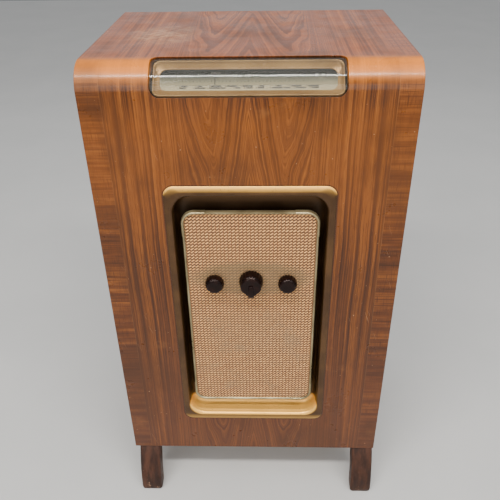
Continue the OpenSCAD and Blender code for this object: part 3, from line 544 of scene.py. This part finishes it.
def cloth_material(center_z):
    """Basket weave in salmon and tan, soiled by hands round the knobs."""
    s = Shader("speaker_cloth")
    coord, (x, _, z) = s.position()
    column = s.math("DIVIDE", x, WEAVE_X)
    px = s.sub(s.math("FRACT", column), 0.5)
    curl = s.mul(s.math("SINE", s.mul(px, 2 * math.pi)), WEAVE_CURL)
    rows = s.sub(s.math("DIVIDE", z, WEAVE_Z), s.add(s.mul(px, WEAVE_SLANT), curl))
    row = s.math("FLOOR", rows)
    pz = s.sub(s.math("FRACT", rows), 0.5)
    lump = s.add(s.math("POWER", s.mul(s.math("ABSOLUTE", px), 2.0), 5.0),
                 s.math("POWER", s.mul(s.math("ABSOLUTE", pz), 2.0), 2.2))
    cell = s.noise(s.vector(s.math("FLOOR", column), row, 1.5), 1.7, 0.0, 0.5)
    yarn = s.noise(s.vector(s.mul(x, 300.0), 0.0, s.mul(z, 1800.0)), 1.0, 3.0, 0.6)
    pale = s.mix(cell, (0.720, 0.320, 0.095), (1.000, 0.530, 0.180))
    # painted shade at the sides of each lump
    side = s.mul(s.step(s.math("ABSOLUTE", px), 0.26, 0.44), 0.78)
    color = s.mix(side, pale, (0.140, 0.052, 0.016))
    # painted shade in the gaps between rows of lumps
    gap_shade = s.step(s.math("ABSOLUTE", pz), 0.15, 0.31)
    color = s.mix(s.mul(gap_shade, 0.94), color, (0.060, 0.021, 0.006))
    # a painted shadow under each lump
    under = s.mul(s.step(pz, 0.00, -0.30), s.step(s.math("ABSOLUTE", px), 0.50, 0.32))
    color = s.mix(s.mul(under, 0.88), color, (0.035, 0.012, 0.004))
    color = s.mix(s.mul(s.step(yarn, 0.45, 0.70), 0.30), color, (0.330, 0.180, 0.100))
    # hand soil: a long olive oval round the controls
    ox = s.math("POWER", s.math("DIVIDE", x, 0.103), 2.0)
    oz = s.math("POWER", s.math("DIVIDE", s.sub(z, KNOB_Z + 0.002), 0.036), 2.0)
    wobble = s.mul(s.noise(coord, 26.0, 3.0, 0.6), 0.7)
    soil = s.step(s.add(s.add(ox, oz), wobble), 1.75, 0.95)
    color = s.mix(s.mul(soil, 0.72), color, (0.150, 0.098, 0.045))
    # a faint bloom of dirt in the lower half and along the foot
    bx = s.math("POWER", s.math("DIVIDE", x, 0.085), 2.0)
    bz = s.math("POWER", s.math("DIVIDE", s.sub(z, center_z - 0.045), 0.060), 2.0)
    bloom = s.step(s.add(s.add(bx, bz), s.noise(coord, 18.0, 3.0, 0.6)), 1.9, 0.6)
    smudge = s.mul(s.step(s.noise(coord, 22.0, 3.0, 0.6), 0.50, 0.68), s.step(z, KNOB_Z, center_z))
    color = s.mix(s.add(s.mul(bloom, 0.16), s.mul(smudge, 0.34)), color, (0.200, 0.135, 0.070))
    s.set(Base_Color=color, Roughness=0.86)
    s.principled.inputs["Sheen Weight"].default_value = 0.15
    s.bump(s.add(yarn, s.mul(s.step(lump, 1.2, 0.0), 1.2)), 0.5, 0.0008)
    return s.material


def scale_material():
    """Printed glass scale: pale olive at its foot, dark grey-green towards its top as painted shade
    of the slot above.
    """
    s = Shader("scale_plate")
    coord, (_, _, z) = s.position()
    cloud = s.noise(coord, 30.0, 4.0, 0.6)
    # painted shade: darker towards the top, where the slot above the scale lies in shade
    height = s.step(z, 0.895, 0.915)
    color = s.mix(height, (0.560, 0.480, 0.260), (0.060, 0.072, 0.058))
    color = s.mix(s.mul(s.step(cloud, 0.45, 0.75), 0.4), color, (0.420, 0.390, 0.260))
    s.set(Base_Color=color, Roughness=0.35)
    s.bump(cloud, 0.05, 0.0003)
    return s.material


# ---------------------------------------------------------------- the case


def case_shell():
    """The sheet that follows front, bend and top, as vertices and faces."""
    steps = 28
    outer, inner = [], []
    for radius, side in ((BEND, outer), (BEND - BOARD, inner)):
        side.append((BEND_Y - radius, BASE))
        for i in range(steps + 1):
            a = math.pi / 2 * i / steps
            side.append((BEND_Y - radius * math.cos(a), BEND_Z + radius * math.sin(a)))
        side.append((BACK, BEND_Z + radius))
    outline = outer + inner[::-1]
    return loft([[(x, y, z) for y, z in outline] for x in (-HALF_W, HALF_W)])


def prism(outline, to_point, low, high):
    """A closed prism: the outline's points through to_point(u, v, depth)."""
    return loft([[to_point(u, v, d) for u, v in outline] for d in (low, high)])


def surround_point(u, v, d):
    """A point of the surround: u across, v up from its middle, d behind the cabinet's face."""
    return (u, FRONT + d, SURROUND_Z + v)


def veneer_run(y, z):
    """Distance along the veneer: up the front, round the bend and back along the top."""
    if z <= BEND_Z + 1e-6 and y < BEND_Y:
        return z
    if y >= BEND_Y:
        return ARC_END + (y - BEND_Y)
    return BEND_Z + BEND * math.atan2(z - BEND_Z, BEND_Y - y)


def build_case():
    """The bent front and top in one sheet, with the window and the recess cut in it."""
    case = link("veneered_case", raw_mesh("veneered_case", *case_shell()),
                veneer_material("walnut_veneer"))
    window = rounded_rect(296 * MM, 48 * math.sqrt(2) * MM, 13 * MM)
    opening = rounded_rect(264.6 * MM, 509.6 * MM, 35 * MM)
    cutters = [
        link("window_cutter", raw_mesh("w", *prism(window, dial_point, -0.04, 0.04))),
        link("recess_cutter", raw_mesh("r", *prism(opening, surround_point, -0.01,
                                                   BOARD + 0.01))),
    ]
    cut(case, cutters)
    finish_mesh(case, bevel=0.9 * MM, segments=2, angle=40, weighted=True)
    layer = case.data.uv_layers.new(name="veneer")
    for loop in case.data.loops:
        v = case.data.vertices[loop.vertex_index].co
        layer.data[loop.index].uv = (v.x, veneer_run(v.y, v.z))
    place(case, "cabinet", "walnut_veneer", "front_top_panel")


def build_side(side, material):
    """A side panel with the bend's own round corner."""
    name = f"side_panel_{side}"
    low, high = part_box(name)
    radius = BEND - BOARD
    outline = [(low[1], low[2])]
    for i in range(21):
        a = math.pi / 2 * i / 20
        outline.append((BEND_Y - radius * math.cos(a), BEND_Z + radius * math.sin(a)))
    outline += [(high[1], high[2]), (high[1], low[2])]
    mesh = raw_mesh(name, *loft([[(x, y, z) for y, z in outline] for x in (low[0], high[0])]))
    obj = finish_mesh(link(f"{name}_board", mesh, material), bevel=0.5 * MM, weighted=True)
    place(obj, "cabinet", "walnut_side", name)


def build_leg(node, material):
    """A sabre leg: two arcs about one axis at floor level, edges softened, toe turned under."""
    low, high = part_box(node)
    front = node.startswith("front")
    kick, setback, height, thick = 29 * MM, 4 * MM, BASE, 33 * MM
    steps = 24
    rise = kick + setback
    sweep = (rise * rise + height * height) / (2 * rise)
    soft = 5 * MM
    toe, toe_tuck = 9 * MM, 3.2 * MM
    loops = []
    for i in range(steps + 1):
        z = height * (1 - i / steps) ** 1.15
        y_out = sweep - kick - math.sqrt(sweep ** 2 - z ** 2)
        y_in = sweep - kick - math.sqrt((sweep - thick) ** 2 - z ** 2)
        tuck = 0.0
        if z < toe:
            tuck = toe_tuck * (1 - math.sqrt(max(0.0, 1 - (1 - z / toe) ** 2)))
        depth = y_in - y_out - 1.6 * tuck
        middle = (y_in + y_out) / 2
        loop = []
        for u, v in rounded_rect(high[0] - low[0] - 1.2 * tuck, depth, soft, 4):
            y = middle + v
            y = FRONT + y if front else BACK - y
            loop.append(((low[0] + high[0]) / 2 + u, y, z))
        loops.append(loop)
    mesh = raw_mesh(node, *loft(loops), smooth=50)
    place(link(f"{node}_sabre", mesh, material), "cabinet", "leg_wood", node)


# ---------------------------------------------------------------- surround and grille


def build_surround(material):
    """The moulded ring with its rolled crest, the valley behind it and the cove."""
    # width, height, corner radius and depth of each line round the moulding, in mm
    lines = [
        (286.0, 541.0, 18.0, 0.0), (286.0, 541.0, 18.0, -0.5), (285.4, 540.3, 17.8, -0.95),
        (283.6, 538.0, 17.6, -1.5), (280.4, 534.0, 18.2, -2.0), (276.6, 528.8, 20.0, -2.45),
        (272.6, 523.2, 22.4, -2.8), (269.0, 518.0, 25.0, -3.0), (266.0, 513.6, 27.6, -2.9),
        (263.6, 510.2, 30.0, -2.3), (261.9, 507.8, 31.6, -1.2), (260.8, 506.2, 32.6, 0.4),
        (260.2, 505.3, 33.0, 2.4),
        (260.0, 505.0, 33.0, 5.0), (258.6, 503.6, 32.5, 6.2), (258.0, 503.0, 32.3, 8.0),
        (258.0, 503.0, 32.3, 14.0), (257.0, 502.0, 32.0, 18.0), (253.5, 498.5, 30.0, 22.5),
        (247.0, 492.0, 27.0, 26.0), (239.0, 484.0, 24.0, 27.6), (230.0, 475.0, 21.0, 28.0),
        (196.0, 400.0, 10.0, 28.0), (196.0, 400.0, 10.0, 30.0), (264.0, 509.0, 35.0, 30.0),
        (264.0, 509.0, 35.0, 0.0),
    ]
    loops = []
    for w, h, r, depth in lines:
        loops.append([surround_point(u, v, depth * MM)
                      for u, v in rounded_rect(w * MM, h * MM, r * MM, 16)])
    mesh = raw_mesh("surround_moulding", *loft(loops, closed=True), smooth=42)
    place(link("surround_moulding", mesh, material), "cabinet", "gold_moulding",
          "surround_trough")


def build_cloth():
    """Chunky woven cloth stretched over its board: each crossing of the yarns stands up."""
    low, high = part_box("grille_cloth")
    center_z = (low[2] + high[2]) / 2
    half_w, half_h = (high[0] - low[0]) / 2, (high[2] - low[2]) / 2
    corner = 18.7 * MM
    front_y = low[1] + WEAVE_RISE
    nx, nz = 200, 400
    hole_r = 6.5 * MM
    flat_edge = 5 * MM
    xs = np.linspace(-half_w, half_w, nx + 1)
    zs = np.linspace(-half_h, half_h, nz + 1)

    def inside(x, z):
        """Whether this point lies within the round corners and off the spindles' holes."""
        dx, dz = abs(x) - (half_w - corner), abs(z) - (half_h - corner)
        if dx > 0 and dz > 0 and math.hypot(dx, dz) > corner:
            return False
        return all(math.hypot(x - c, z + center_z - KNOB_Z) > hole_r
                   for c in (-KNOB_GAP, 0.0, KNOB_GAP))

    index, verts, faces = {}, [], []
    for j, z in enumerate(zs):
        for i, x in enumerate(xs):
            if inside(x, z):
                world_z = z + center_z
                px = (x / WEAVE_X) % 1 - 0.5
                lean = px * WEAVE_SLANT + math.sin(2 * math.pi * px) * WEAVE_CURL
                pz = (world_z / WEAVE_Z - lean) % 1 - 0.5
                lump = math.sqrt(max(0.0, 1 - (1.7 * px) ** 4 - (1.98 * pz) ** 2))
                edge = min(half_w - abs(x), half_h - abs(z))
                rise = WEAVE_RISE * lump * min(1.0, max(0.0, edge - flat_edge) / MM)
                index[i, j] = len(verts)
                verts.append((x, front_y - rise, world_z))
    for j in range(nz):
        for i in range(nx):
            quad = [(i, j), (i + 1, j), (i + 1, j + 1), (i, j + 1)]
            if all(q in index for q in quad):
                faces.append([index[q] for q in quad])
    mesh = bpy.data.meshes.new("speaker_cloth")
    mesh.from_pydata(verts, [], faces)
    for poly in mesh.polygons:
        poly.use_smooth = True
    cloth = link("speaker_cloth", mesh, cloth_material(center_z))
    solid = cloth.modifiers.new("thickness", "SOLIDIFY")
    solid.thickness = 0.4 * MM
    solid.offset = -1 if mesh.polygons[0].normal.y < 0 else 1
    finish_mesh(cloth)
    place(cloth, "cabinet", "speaker_cloth", "grille_cloth")


def bead(points, step, center_z):
    """A rounded metal bead along outward-facing points. step thins the bead."""
    # offset in from the outer edge, and depth from the face, in mm
    profile = [(step, 12.0), (step, 5.2 + step), (0.5 + step, 4.0 + step),
               (1.3 + step, 3.0 + step), (2.3, 2.55 + step / 2), (3.3, 2.9 + step / 2),
               (4.3, 3.7 + step / 2), (5.0, 4.6 + step / 3), (5.4, 5.6),
               (4.4, 5.75), (4.3, 12.0)]
    loops = []
    for (x, z), (nx, nz) in points:
        loops.append([(x - nx * o * MM, FRONT + d * MM, center_z + z - nz * o * MM)
                      for o, d in profile])
    return loft(loops)


def build_trim(material):
    """Four straight strips and four corner pieces that lap over their ends."""
    low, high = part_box("trim_corners")
    center_z = (low[2] + high[2]) / 2
    w, h, r = 237 * MM, 441 * MM, 23 * MM
    run_x, run_z = 42 * MM, 48 * MM
    path = corner_arcs(w, h, r, 12)
    per = len(path) // 4
    corners = []
    for c, (sx, sy) in enumerate(QUARTERS):
        arc = path[c * per:(c + 1) * per]
        side = ((sx * w / 2, sy * (h / 2 - run_z)), (sx, 0))
        end = ((sx * (w / 2 - run_x), sy * h / 2), (0, sy))
        first, last = (side, end) if sx * sy > 0 else (end, side)
        corners.append(bead([first] + arc + [last], 0.0, center_z))
    step = 0.8
    sides = [bead([((s * w / 2, -s * (h / 2 - run_z)), (s, 0)),
                   ((s * w / 2, s * (h / 2 - run_z)), (s, 0))], step, center_z) for s in (1, -1)]
    ends = [bead([((s * (w / 2 - run_x), s * h / 2), (0, s)),
                  ((-s * (w / 2 - run_x), s * h / 2), (0, s))], step, center_z) for s in (1, -1)]
    for name, shells in (("corners", corners), ("sides", sides), ("ends", ends)):
        mesh = raw_mesh(f"trim_{name}_bead", *join_shells(shells), smooth=50)
        obj = finish_mesh(link(f"trim_{name}_bead", mesh, material), bevel=0.15 * MM, angle=60)
        place(obj, "cabinet", "bronze_trim", f"trim_{name}")


# ---------------------------------------------------------------- knobs


def fluted_knob(name, node, body, x, profile, lobes, depth, y_fade, material):
    """A turned knob whose side has flutes. profile is radius and depth, in mm, and the flutes
    start behind y_fade."""
    count = lobes * 8
    loops = []
    r_max = max(r for r, _ in profile)
    for r, y in profile:
        loop = []
        for i in range(count):
            a = 2 * math.pi * i / count
            wave = (0.5 - 0.5 * math.cos(lobes * a)) ** 1.6
            near = min(1.0, max(0.0, (r / r_max - 0.72) / 0.16))
            fade = near * min(1.0, max(0.0, (y - y_fade) / 1.5))
            radius = (r - depth * wave * fade) * MM
            loop.append((x + radius * math.cos(a), FRONT + y * MM, KNOB_Z + radius * math.sin(a)))
        loops.append(loop)
    mesh = raw_mesh(name, *loft(loops), smooth=40)
    place(link(name, mesh, material), body, "bakelite", node)


def build_knobs(material):
    """The two small knobs and the tuning knob between them."""
    small = [(6.0, 5.0), (6.0, -1.4), (8.5, -2.2), (15.6, -2.5), (16.6, -3.1), (17.0, -4.2),
             (17.2, -6.5), (17.0, -9.8), (16.4, -13.0), (15.5, -15.4), (14.2, -17.3),
             (12.6, -18.5), (10.8, -19.0), (9.6, -19.0), (6.0, -18.9), (1.0, -18.85)]
    for side, node in ((-1, "volume"), (1, "tone")):
        fluted_knob(f"{node}_knob_fluted", f"{node}_knob", node, side * KNOB_GAP, small, 18,
                    0.9, -18.6, material)
    tuning = [(8.0, 5.0), (8.0, 4.2), (10.0, 3.6), (20.2, 3.5), (21.3, 3.1), (21.7, 2.2),
              (21.6, -1.0), (21.3, -4.0), (20.8, -7.5), (19.8, -10.6), (18.4, -13.2), (16.8, -15.1),
              (15.0, -16.4), (13.6, -16.9), (12.0, -17.0), (5.0, -17.0), (3.6, -17.0), (3.6, -16.0)]
    fluted_knob("tuning_knob_fluted", "tuning_knob", "tuning", 0.0, tuning, 22, 1.0, -15.6,
                material)


def wave_outline(radius, tip, half_tip):
    """A disc drawn out to a blunt tip that points down, as (x, z) in mm."""
    start = math.radians(-28)
    end = math.radians(208)
    steps = 48
    points = []
    for i in range(steps + 1):
        a = start + (end - start) * i / steps
        points.append((radius * math.cos(a), radius * math.sin(a)))
    points += [(-half_tip - 0.4, -tip + 1.4), (-half_tip + 1.2, -tip), (half_tip - 1.2, -tip),
               (half_tip + 0.4, -tip + 1.4)]
    return points


def build_wave_knob(material):
    """The pointed disc on the end of the tuning knob, with its raised bar."""

    def shell(rings):
        """A closed shell through pairs of an outline and its depth, in mm."""
        return loft([[(x * MM, FRONT + y * MM, KNOB_Z + z * MM) for x, z in outline]
                     for outline, y in rings])

    disc = shell([(wave_outline(17.6, 19.4, 4.8), -17.5), (wave_outline(18.5, 20.4, 5.4), -18.2),
                  (wave_outline(18.5, 20.4, 5.4), -19.4), (wave_outline(18.0, 20.0, 5.1), -20.4),
                  (wave_outline(16.9, 19.2, 4.6), -20.95), (wave_outline(15.8, 18.2, 4.0), -21.0)])

    def bar(shrink):
        """The bar's outline, drawn in by shrink."""
        w_top, w_low, top, low = 4.0, 5.2, 4.0, -19.6
        return [(-w_top + shrink, top - shrink), (-w_low + shrink, low + shrink),
                (w_low - shrink, low + shrink), (w_top - shrink, top - shrink)]

    ridge = shell([(bar(0.0), -20.4), (bar(0.0), -22.6), (bar(0.5), -23.6), (bar(1.3), -24.0)])
    mesh = raw_mesh("wave_knob_pointer", *join_shells([disc, ridge]), smooth=38)
    place(link("wave_knob_pointer", mesh, material), "wave", "bakelite", "wave_knob")


# ---------------------------------------------------------------- dial


def build_bezel(material):
    """Sloping picture frame round the scale, with a bead along its outer and inner edges."""
    # width, height, corner radius and height over the slope of each line, in mm
    lines = [
        (292.0, 60.0, 11.0, -10.0), (292.0, 60.0, 11.0, -4.6), (291.4, 59.4, 10.7, -3.7),
        (290.2, 58.2, 10.1, -3.1), (288.6, 56.6, 9.6, -3.0), (287.0, 55.0, 9.4, -3.3),
        (285.8, 53.6, 9.6, -4.1), (284.8, 51.4, 10.4, -5.5), (283.0, 48.8, 11.0, -6.5),
        (275.0, 39.0, 12.0, -8.6), (273.5, 37.6, 12.0, -8.9),
        (272.2, 36.4, 11.8, -9.0), (271.2, 35.6, 11.5, -9.5), (271.0, 35.4, 11.4, -10.0),
    ]
    loops = [[dial_point(u, v, w * MM) for u, v in rounded_rect(a * MM, b * MM, r * MM, 12)]
             for a, b, r, w in lines]
    mesh = raw_mesh("dial_bezel_frame", *loft(loops, closed=True), smooth=50)
    place(link("dial_bezel_frame", mesh, material), "cabinet", "gold_bezel", "dial_bezel")


def build_scale(plate_material, ink):
    """The scale plate, and its printed marks as one thin raised piece."""
    w, low, high, back, front = 274 * MM, -20 * MM, 9.5 * MM, -12 * MM, -10 * MM
    outline = [(-w / 2, low), (w / 2, low), (w / 2, high), (-w / 2, high)]
    mesh = raw_mesh("dial_scale_plate", *prism(outline, dial_point, back, front))
    plate = finish_mesh(link("dial_scale_plate", mesh, plate_material), bevel=0.3 * MM)
    place(plate, "cabinet", "scale_plate", "dial_scale")
    rng = random.Random(7)
    marks = []

    def mark(u0, u1, v0, v1):
        """One printed block on the plate, in mm."""
        box = [(u0 * MM, v0 * MM), (u1 * MM, v0 * MM), (u1 * MM, v1 * MM), (u0 * MM, v1 * MM)]
        marks.append(prism(box, dial_point, -10.0 * MM, -9.9 * MM))

    reach, pitch, foot = 112, 5.6, -3.4
    for i in range(41):
        tall = 2.4 if i % 5 == 0 else 1.3
        mark(-reach + i * pitch - 0.4, -reach + i * pitch + 0.4, foot, foot + tall)
    mark(-reach, reach, -8.9, -8.6)
    for v, count in ((-11.6, 9), (-14.6, 11)):
        for i in range(count):
            u = -108 + 216 * (i + rng.uniform(0.1, 0.5)) / count
            mark(u - 2.6, u - 1.8, v - 0.6, v + 2.8)
            for k in range(rng.randint(4, 8)):
                mark(u + k * 2.0, u + k * 2.0 + 1.8, v, v + 2.4)
    mesh = raw_mesh("dial_marks", *join_shells(marks))
    place(link("dial_marks", mesh, ink), "cabinet", "scale_plate")


# ---------------------------------------------------------------- carried-over CAD nodes


def paint(material, *nodes):
    """Gives CAD nodes a material of this scene's own."""
    for name in nodes:
        mesh = NODES[name].data
        mesh.materials.clear()
        mesh.materials.append(material)


def paint_cad_nodes(steel, cream, bakelite):
    """Materials for the CAD nodes that show as they are."""
    paint(bare_wood("plywood", (0.46, 0.30, 0.17), (0.30, 0.18, 0.09)), "base_board",
          "chassis_shelf", "speaker_baffle", "grille_board")
    paint(bare_wood("softwood", (0.60, 0.42, 0.23), (0.42, 0.26, 0.12), "Z"), "battens",
          "corner_blocks", "grille_spacers")
    paint(bare_wood("hardboard", (0.20, 0.12, 0.07), (0.12, 0.068, 0.038), "Z", 3.0),
          "back_cover")
    paint(metal_material("brass_screw", (0.55, 0.38, 0.16), 0.38), "back_cover_screws")
    paint(plastic_material("black_rubber", (0.022, 0.022, 0.022), 0.6), "mains_grommet")
    paint(steel, "pointer_rail", "volume_spindle", "wave_spindle", "tone_spindle", "gang_frame")
    paint(metal_material("brass_tube", (0.60, 0.44, 0.20), 0.3), "tuning_spindle")
    paint(metal_material("plated_steel", (0.42, 0.40, 0.34), 0.42), "chassis_pan")
    # the dial tray painted dark: painted shade in the slot above the scale
    paint(plastic_material("tray_painted_shade", (0.060, 0.068, 0.062), 0.5), "dial_tray")
    paint(plastic_material("pointer_black", (0.060, 0.055, 0.042), 0.4), "dial_pointer")
    paint(glass_material("lamp_glass", (0.95, 0.88, 0.66), 0.35, 0.8, 0.05), "dial_lamps")
    paint(cream, "pulley_left", "pulley_right", "drive_drum")
    paint(plastic_material("dial_cord", (0.55, 0.46, 0.28), 0.8, 300.0, 0.4, 0.3),
          "pointer_cord", "tuning_cord")
    paint(plastic_material("dark_metal", (0.10, 0.10, 0.11), 0.35), "volume_control",
          "tone_control")
    paint(plastic_material("brown_laminate", (0.20, 0.095, 0.04), 0.4), "wave_switch",
          "socket_panel")
    paint(metal_material("aluminium_vane", (0.72, 0.72, 0.72), 0.28), "gang_stator",
          "gang_rotor")
    paint(metal_material("aluminium_can", (0.62, 0.62, 0.63), 0.33), "smoothing_can",
          "if_cans")
    paint(bakelite, "valve_bases")
    paint(plastic_material("black_iron", (0.035, 0.035, 0.038), 0.45), "mains_transformer",
          "output_transformer")
    paint(glass_material("valve_glass", (0.62, 0.66, 0.68), 0.35, 0.85, 0.04), "valve_glass")
    paint(plastic_material("grey_enamel", (0.10, 0.11, 0.12), 0.4), "speaker_basket")
    paint(plastic_material("felt", (0.12, 0.09, 0.06), 0.9, 200.0, 0.4, 0.3), "speaker_edge")
    paint(metal_material("magnet_steel", (0.36, 0.36, 0.37), 0.4), "speaker_magnet")
    paint(plastic_material("cone_paper", (0.06, 0.052, 0.045), 0.85, 120.0, 0.4, 0.3),
          "speaker_cone")
    paint(glass_material("clear_cover", (0.05, 0.05, 0.04), 0.20, 0.36, 0.03), "dial_cover")


# ---------------------------------------------------------------- stage


def build_stage():
    """Plain pale floor, soft studio light, and the camera at the photograph's angle."""
    mesh = raw_mesh("floor", [(-6, -6, 0), (6, -6, 0), (6, 6, 0), (-6, 6, 0)], [(0, 1, 2, 3)])
    s = Shader("floor")
    coord, _ = s.position()
    s.set(Base_Color=s.mix(s.noise(coord, 3.0, 4.0, 0.6), (0.46, 0.47, 0.47), (0.54, 0.54, 0.54)),
          Roughness=0.55)
    link("floor", mesh, s.material)

    world = bpy.data.worlds.new("studio")
    bpy.context.scene.world = world
    world.use_nodes = True
    tree = world.node_tree
    background = tree.nodes["Background"]
    direction = tree.nodes.new("ShaderNodeTexCoord").outputs["Generated"]
    parts = tree.nodes.new("ShaderNodeSeparateXYZ")
    tree.links.new(direction, parts.inputs[0])
    ramp = tree.nodes.new("ShaderNodeValToRGB")
    tree.links.new(parts.outputs[2], ramp.inputs[0])
    ramp.color_ramp.elements[0].color = (0.30, 0.31, 0.32, 1.0)
    ramp.color_ramp.elements[1].color = (1.0, 1.0, 1.0, 1.0)
    tree.links.new(ramp.outputs[0], background.inputs[0])
    background.inputs[1].default_value = 0.75

    def area(name, spot, target, size, power, color):
        """A rectangular light at the spot, facing the target."""
        light = bpy.data.lights.new(name, "AREA")
        light.shape = "RECTANGLE"
        light.size, light.size_y = size
        light.energy = power
        light.color = color
        obj = bpy.data.objects.new(name, light)
        bpy.context.scene.collection.objects.link(obj)
        obj.location = spot
        obj.rotation_euler = (Vector(target) - Vector(spot)).to_track_quat("-Z", "Y").to_euler()

    area("strip", (0.0, -1.6, 3.1), (0.0, 0.0, 0.9), (3.6, 0.26), 132, (1.0, 0.95, 0.88))
    area("ceiling", (0.0, -0.9, 3.4), (0.0, -0.1, 0.9), (3.4, 2.2), 36, (1.0, 0.96, 0.91))
    area("window", (0.0, -2.2, 1.1), (0.0, 0.0, 0.7), (3.0, 0.8), 20, (1.0, 0.98, 0.95))
    area("key", (-1.7, -2.8, 2.3), (0.0, 0.0, 0.5), (2.2, 1.6), 28, (1.0, 0.97, 0.93))
    area("fill", (2.6, -2.2, 1.4), (0.0, 0.0, 0.5), (2.0, 2.0), 14, (0.95, 0.98, 1.0))
    area("wall", (0.0, 2.6, 1.75), (0.0, 0.0, 1.0), (6.0, 1.5), 9, (0.93, 0.97, 1.0))

    sensor = 36.0
    focal_share = 596.36 / 500
    camera = bpy.data.cameras.new("camera")
    camera.sensor_width = sensor
    camera.lens = focal_share * sensor
    camera.clip_start = 0.01
    obj = bpy.data.objects.new("camera", camera)
    bpy.context.scene.collection.objects.link(obj)
    bpy.context.scene.camera = obj
    pitch, yaw, roll = 0.5639, -0.0341, -0.0172
    right = Vector((math.cos(yaw), -math.sin(yaw), 0))
    ahead = Vector((math.sin(yaw) * math.cos(pitch), math.cos(yaw) * math.cos(pitch),
                    -math.sin(pitch)))
    up = Vector((math.sin(yaw) * math.sin(pitch), math.cos(yaw) * math.sin(pitch),
                 math.cos(pitch)))
    cos_r, sin_r = math.cos(roll), math.sin(roll)
    axes = Matrix((cos_r * right + sin_r * up, -sin_r * right + cos_r * up, -ahead))
    spot = (28.7 * MM, FRONT - 872.9 * MM, 1173.8 * MM)
    obj.matrix_world = Matrix.Translation(spot) @ axes.transposed().to_4x4()


# ---------------------------------------------------------------- build


def main():
    steel = metal_material("bright_steel", (0.62, 0.62, 0.62), 0.28)
    cream = plastic_material("cream_plastic", (0.62, 0.52, 0.32), 0.4)
    bakelite = bakelite_material()
    gold = gold_material("gold_moulding", (0.095, 0.045, 0.014), (0.055, 0.025, 0.008), 0.30, 0.50,
                         (1.000, 0.530, 0.100))
    build_case()
    side_wood = veneer_material("walnut_side", mapped=False)
    for side in ("left", "right"):
        build_side(side, side_wood)
    legs = leg_material()
    for node in ("front_leg_left", "front_leg_right", "rear_leg_left", "rear_leg_right"):
        build_leg(node, legs)
    build_surround(gold)
    build_cloth()
    build_trim(gold_material("bronze_trim", (0.420, 0.350, 0.200), (0.200, 0.160, 0.085), 0.26,
                             0.75))
    build_knobs(bakelite)
    build_wave_knob(bakelite)
    build_bezel(gold_material("gold_bezel", (0.560, 0.330, 0.115), (0.420, 0.235, 0.080), 0.28,
                              0.45))
    build_scale(scale_material(), plastic_material("dial_ink", (0.035, 0.030, 0.025), 0.5))
    paint_cad_nodes(steel, cream, bakelite)
    build_stage()


main()
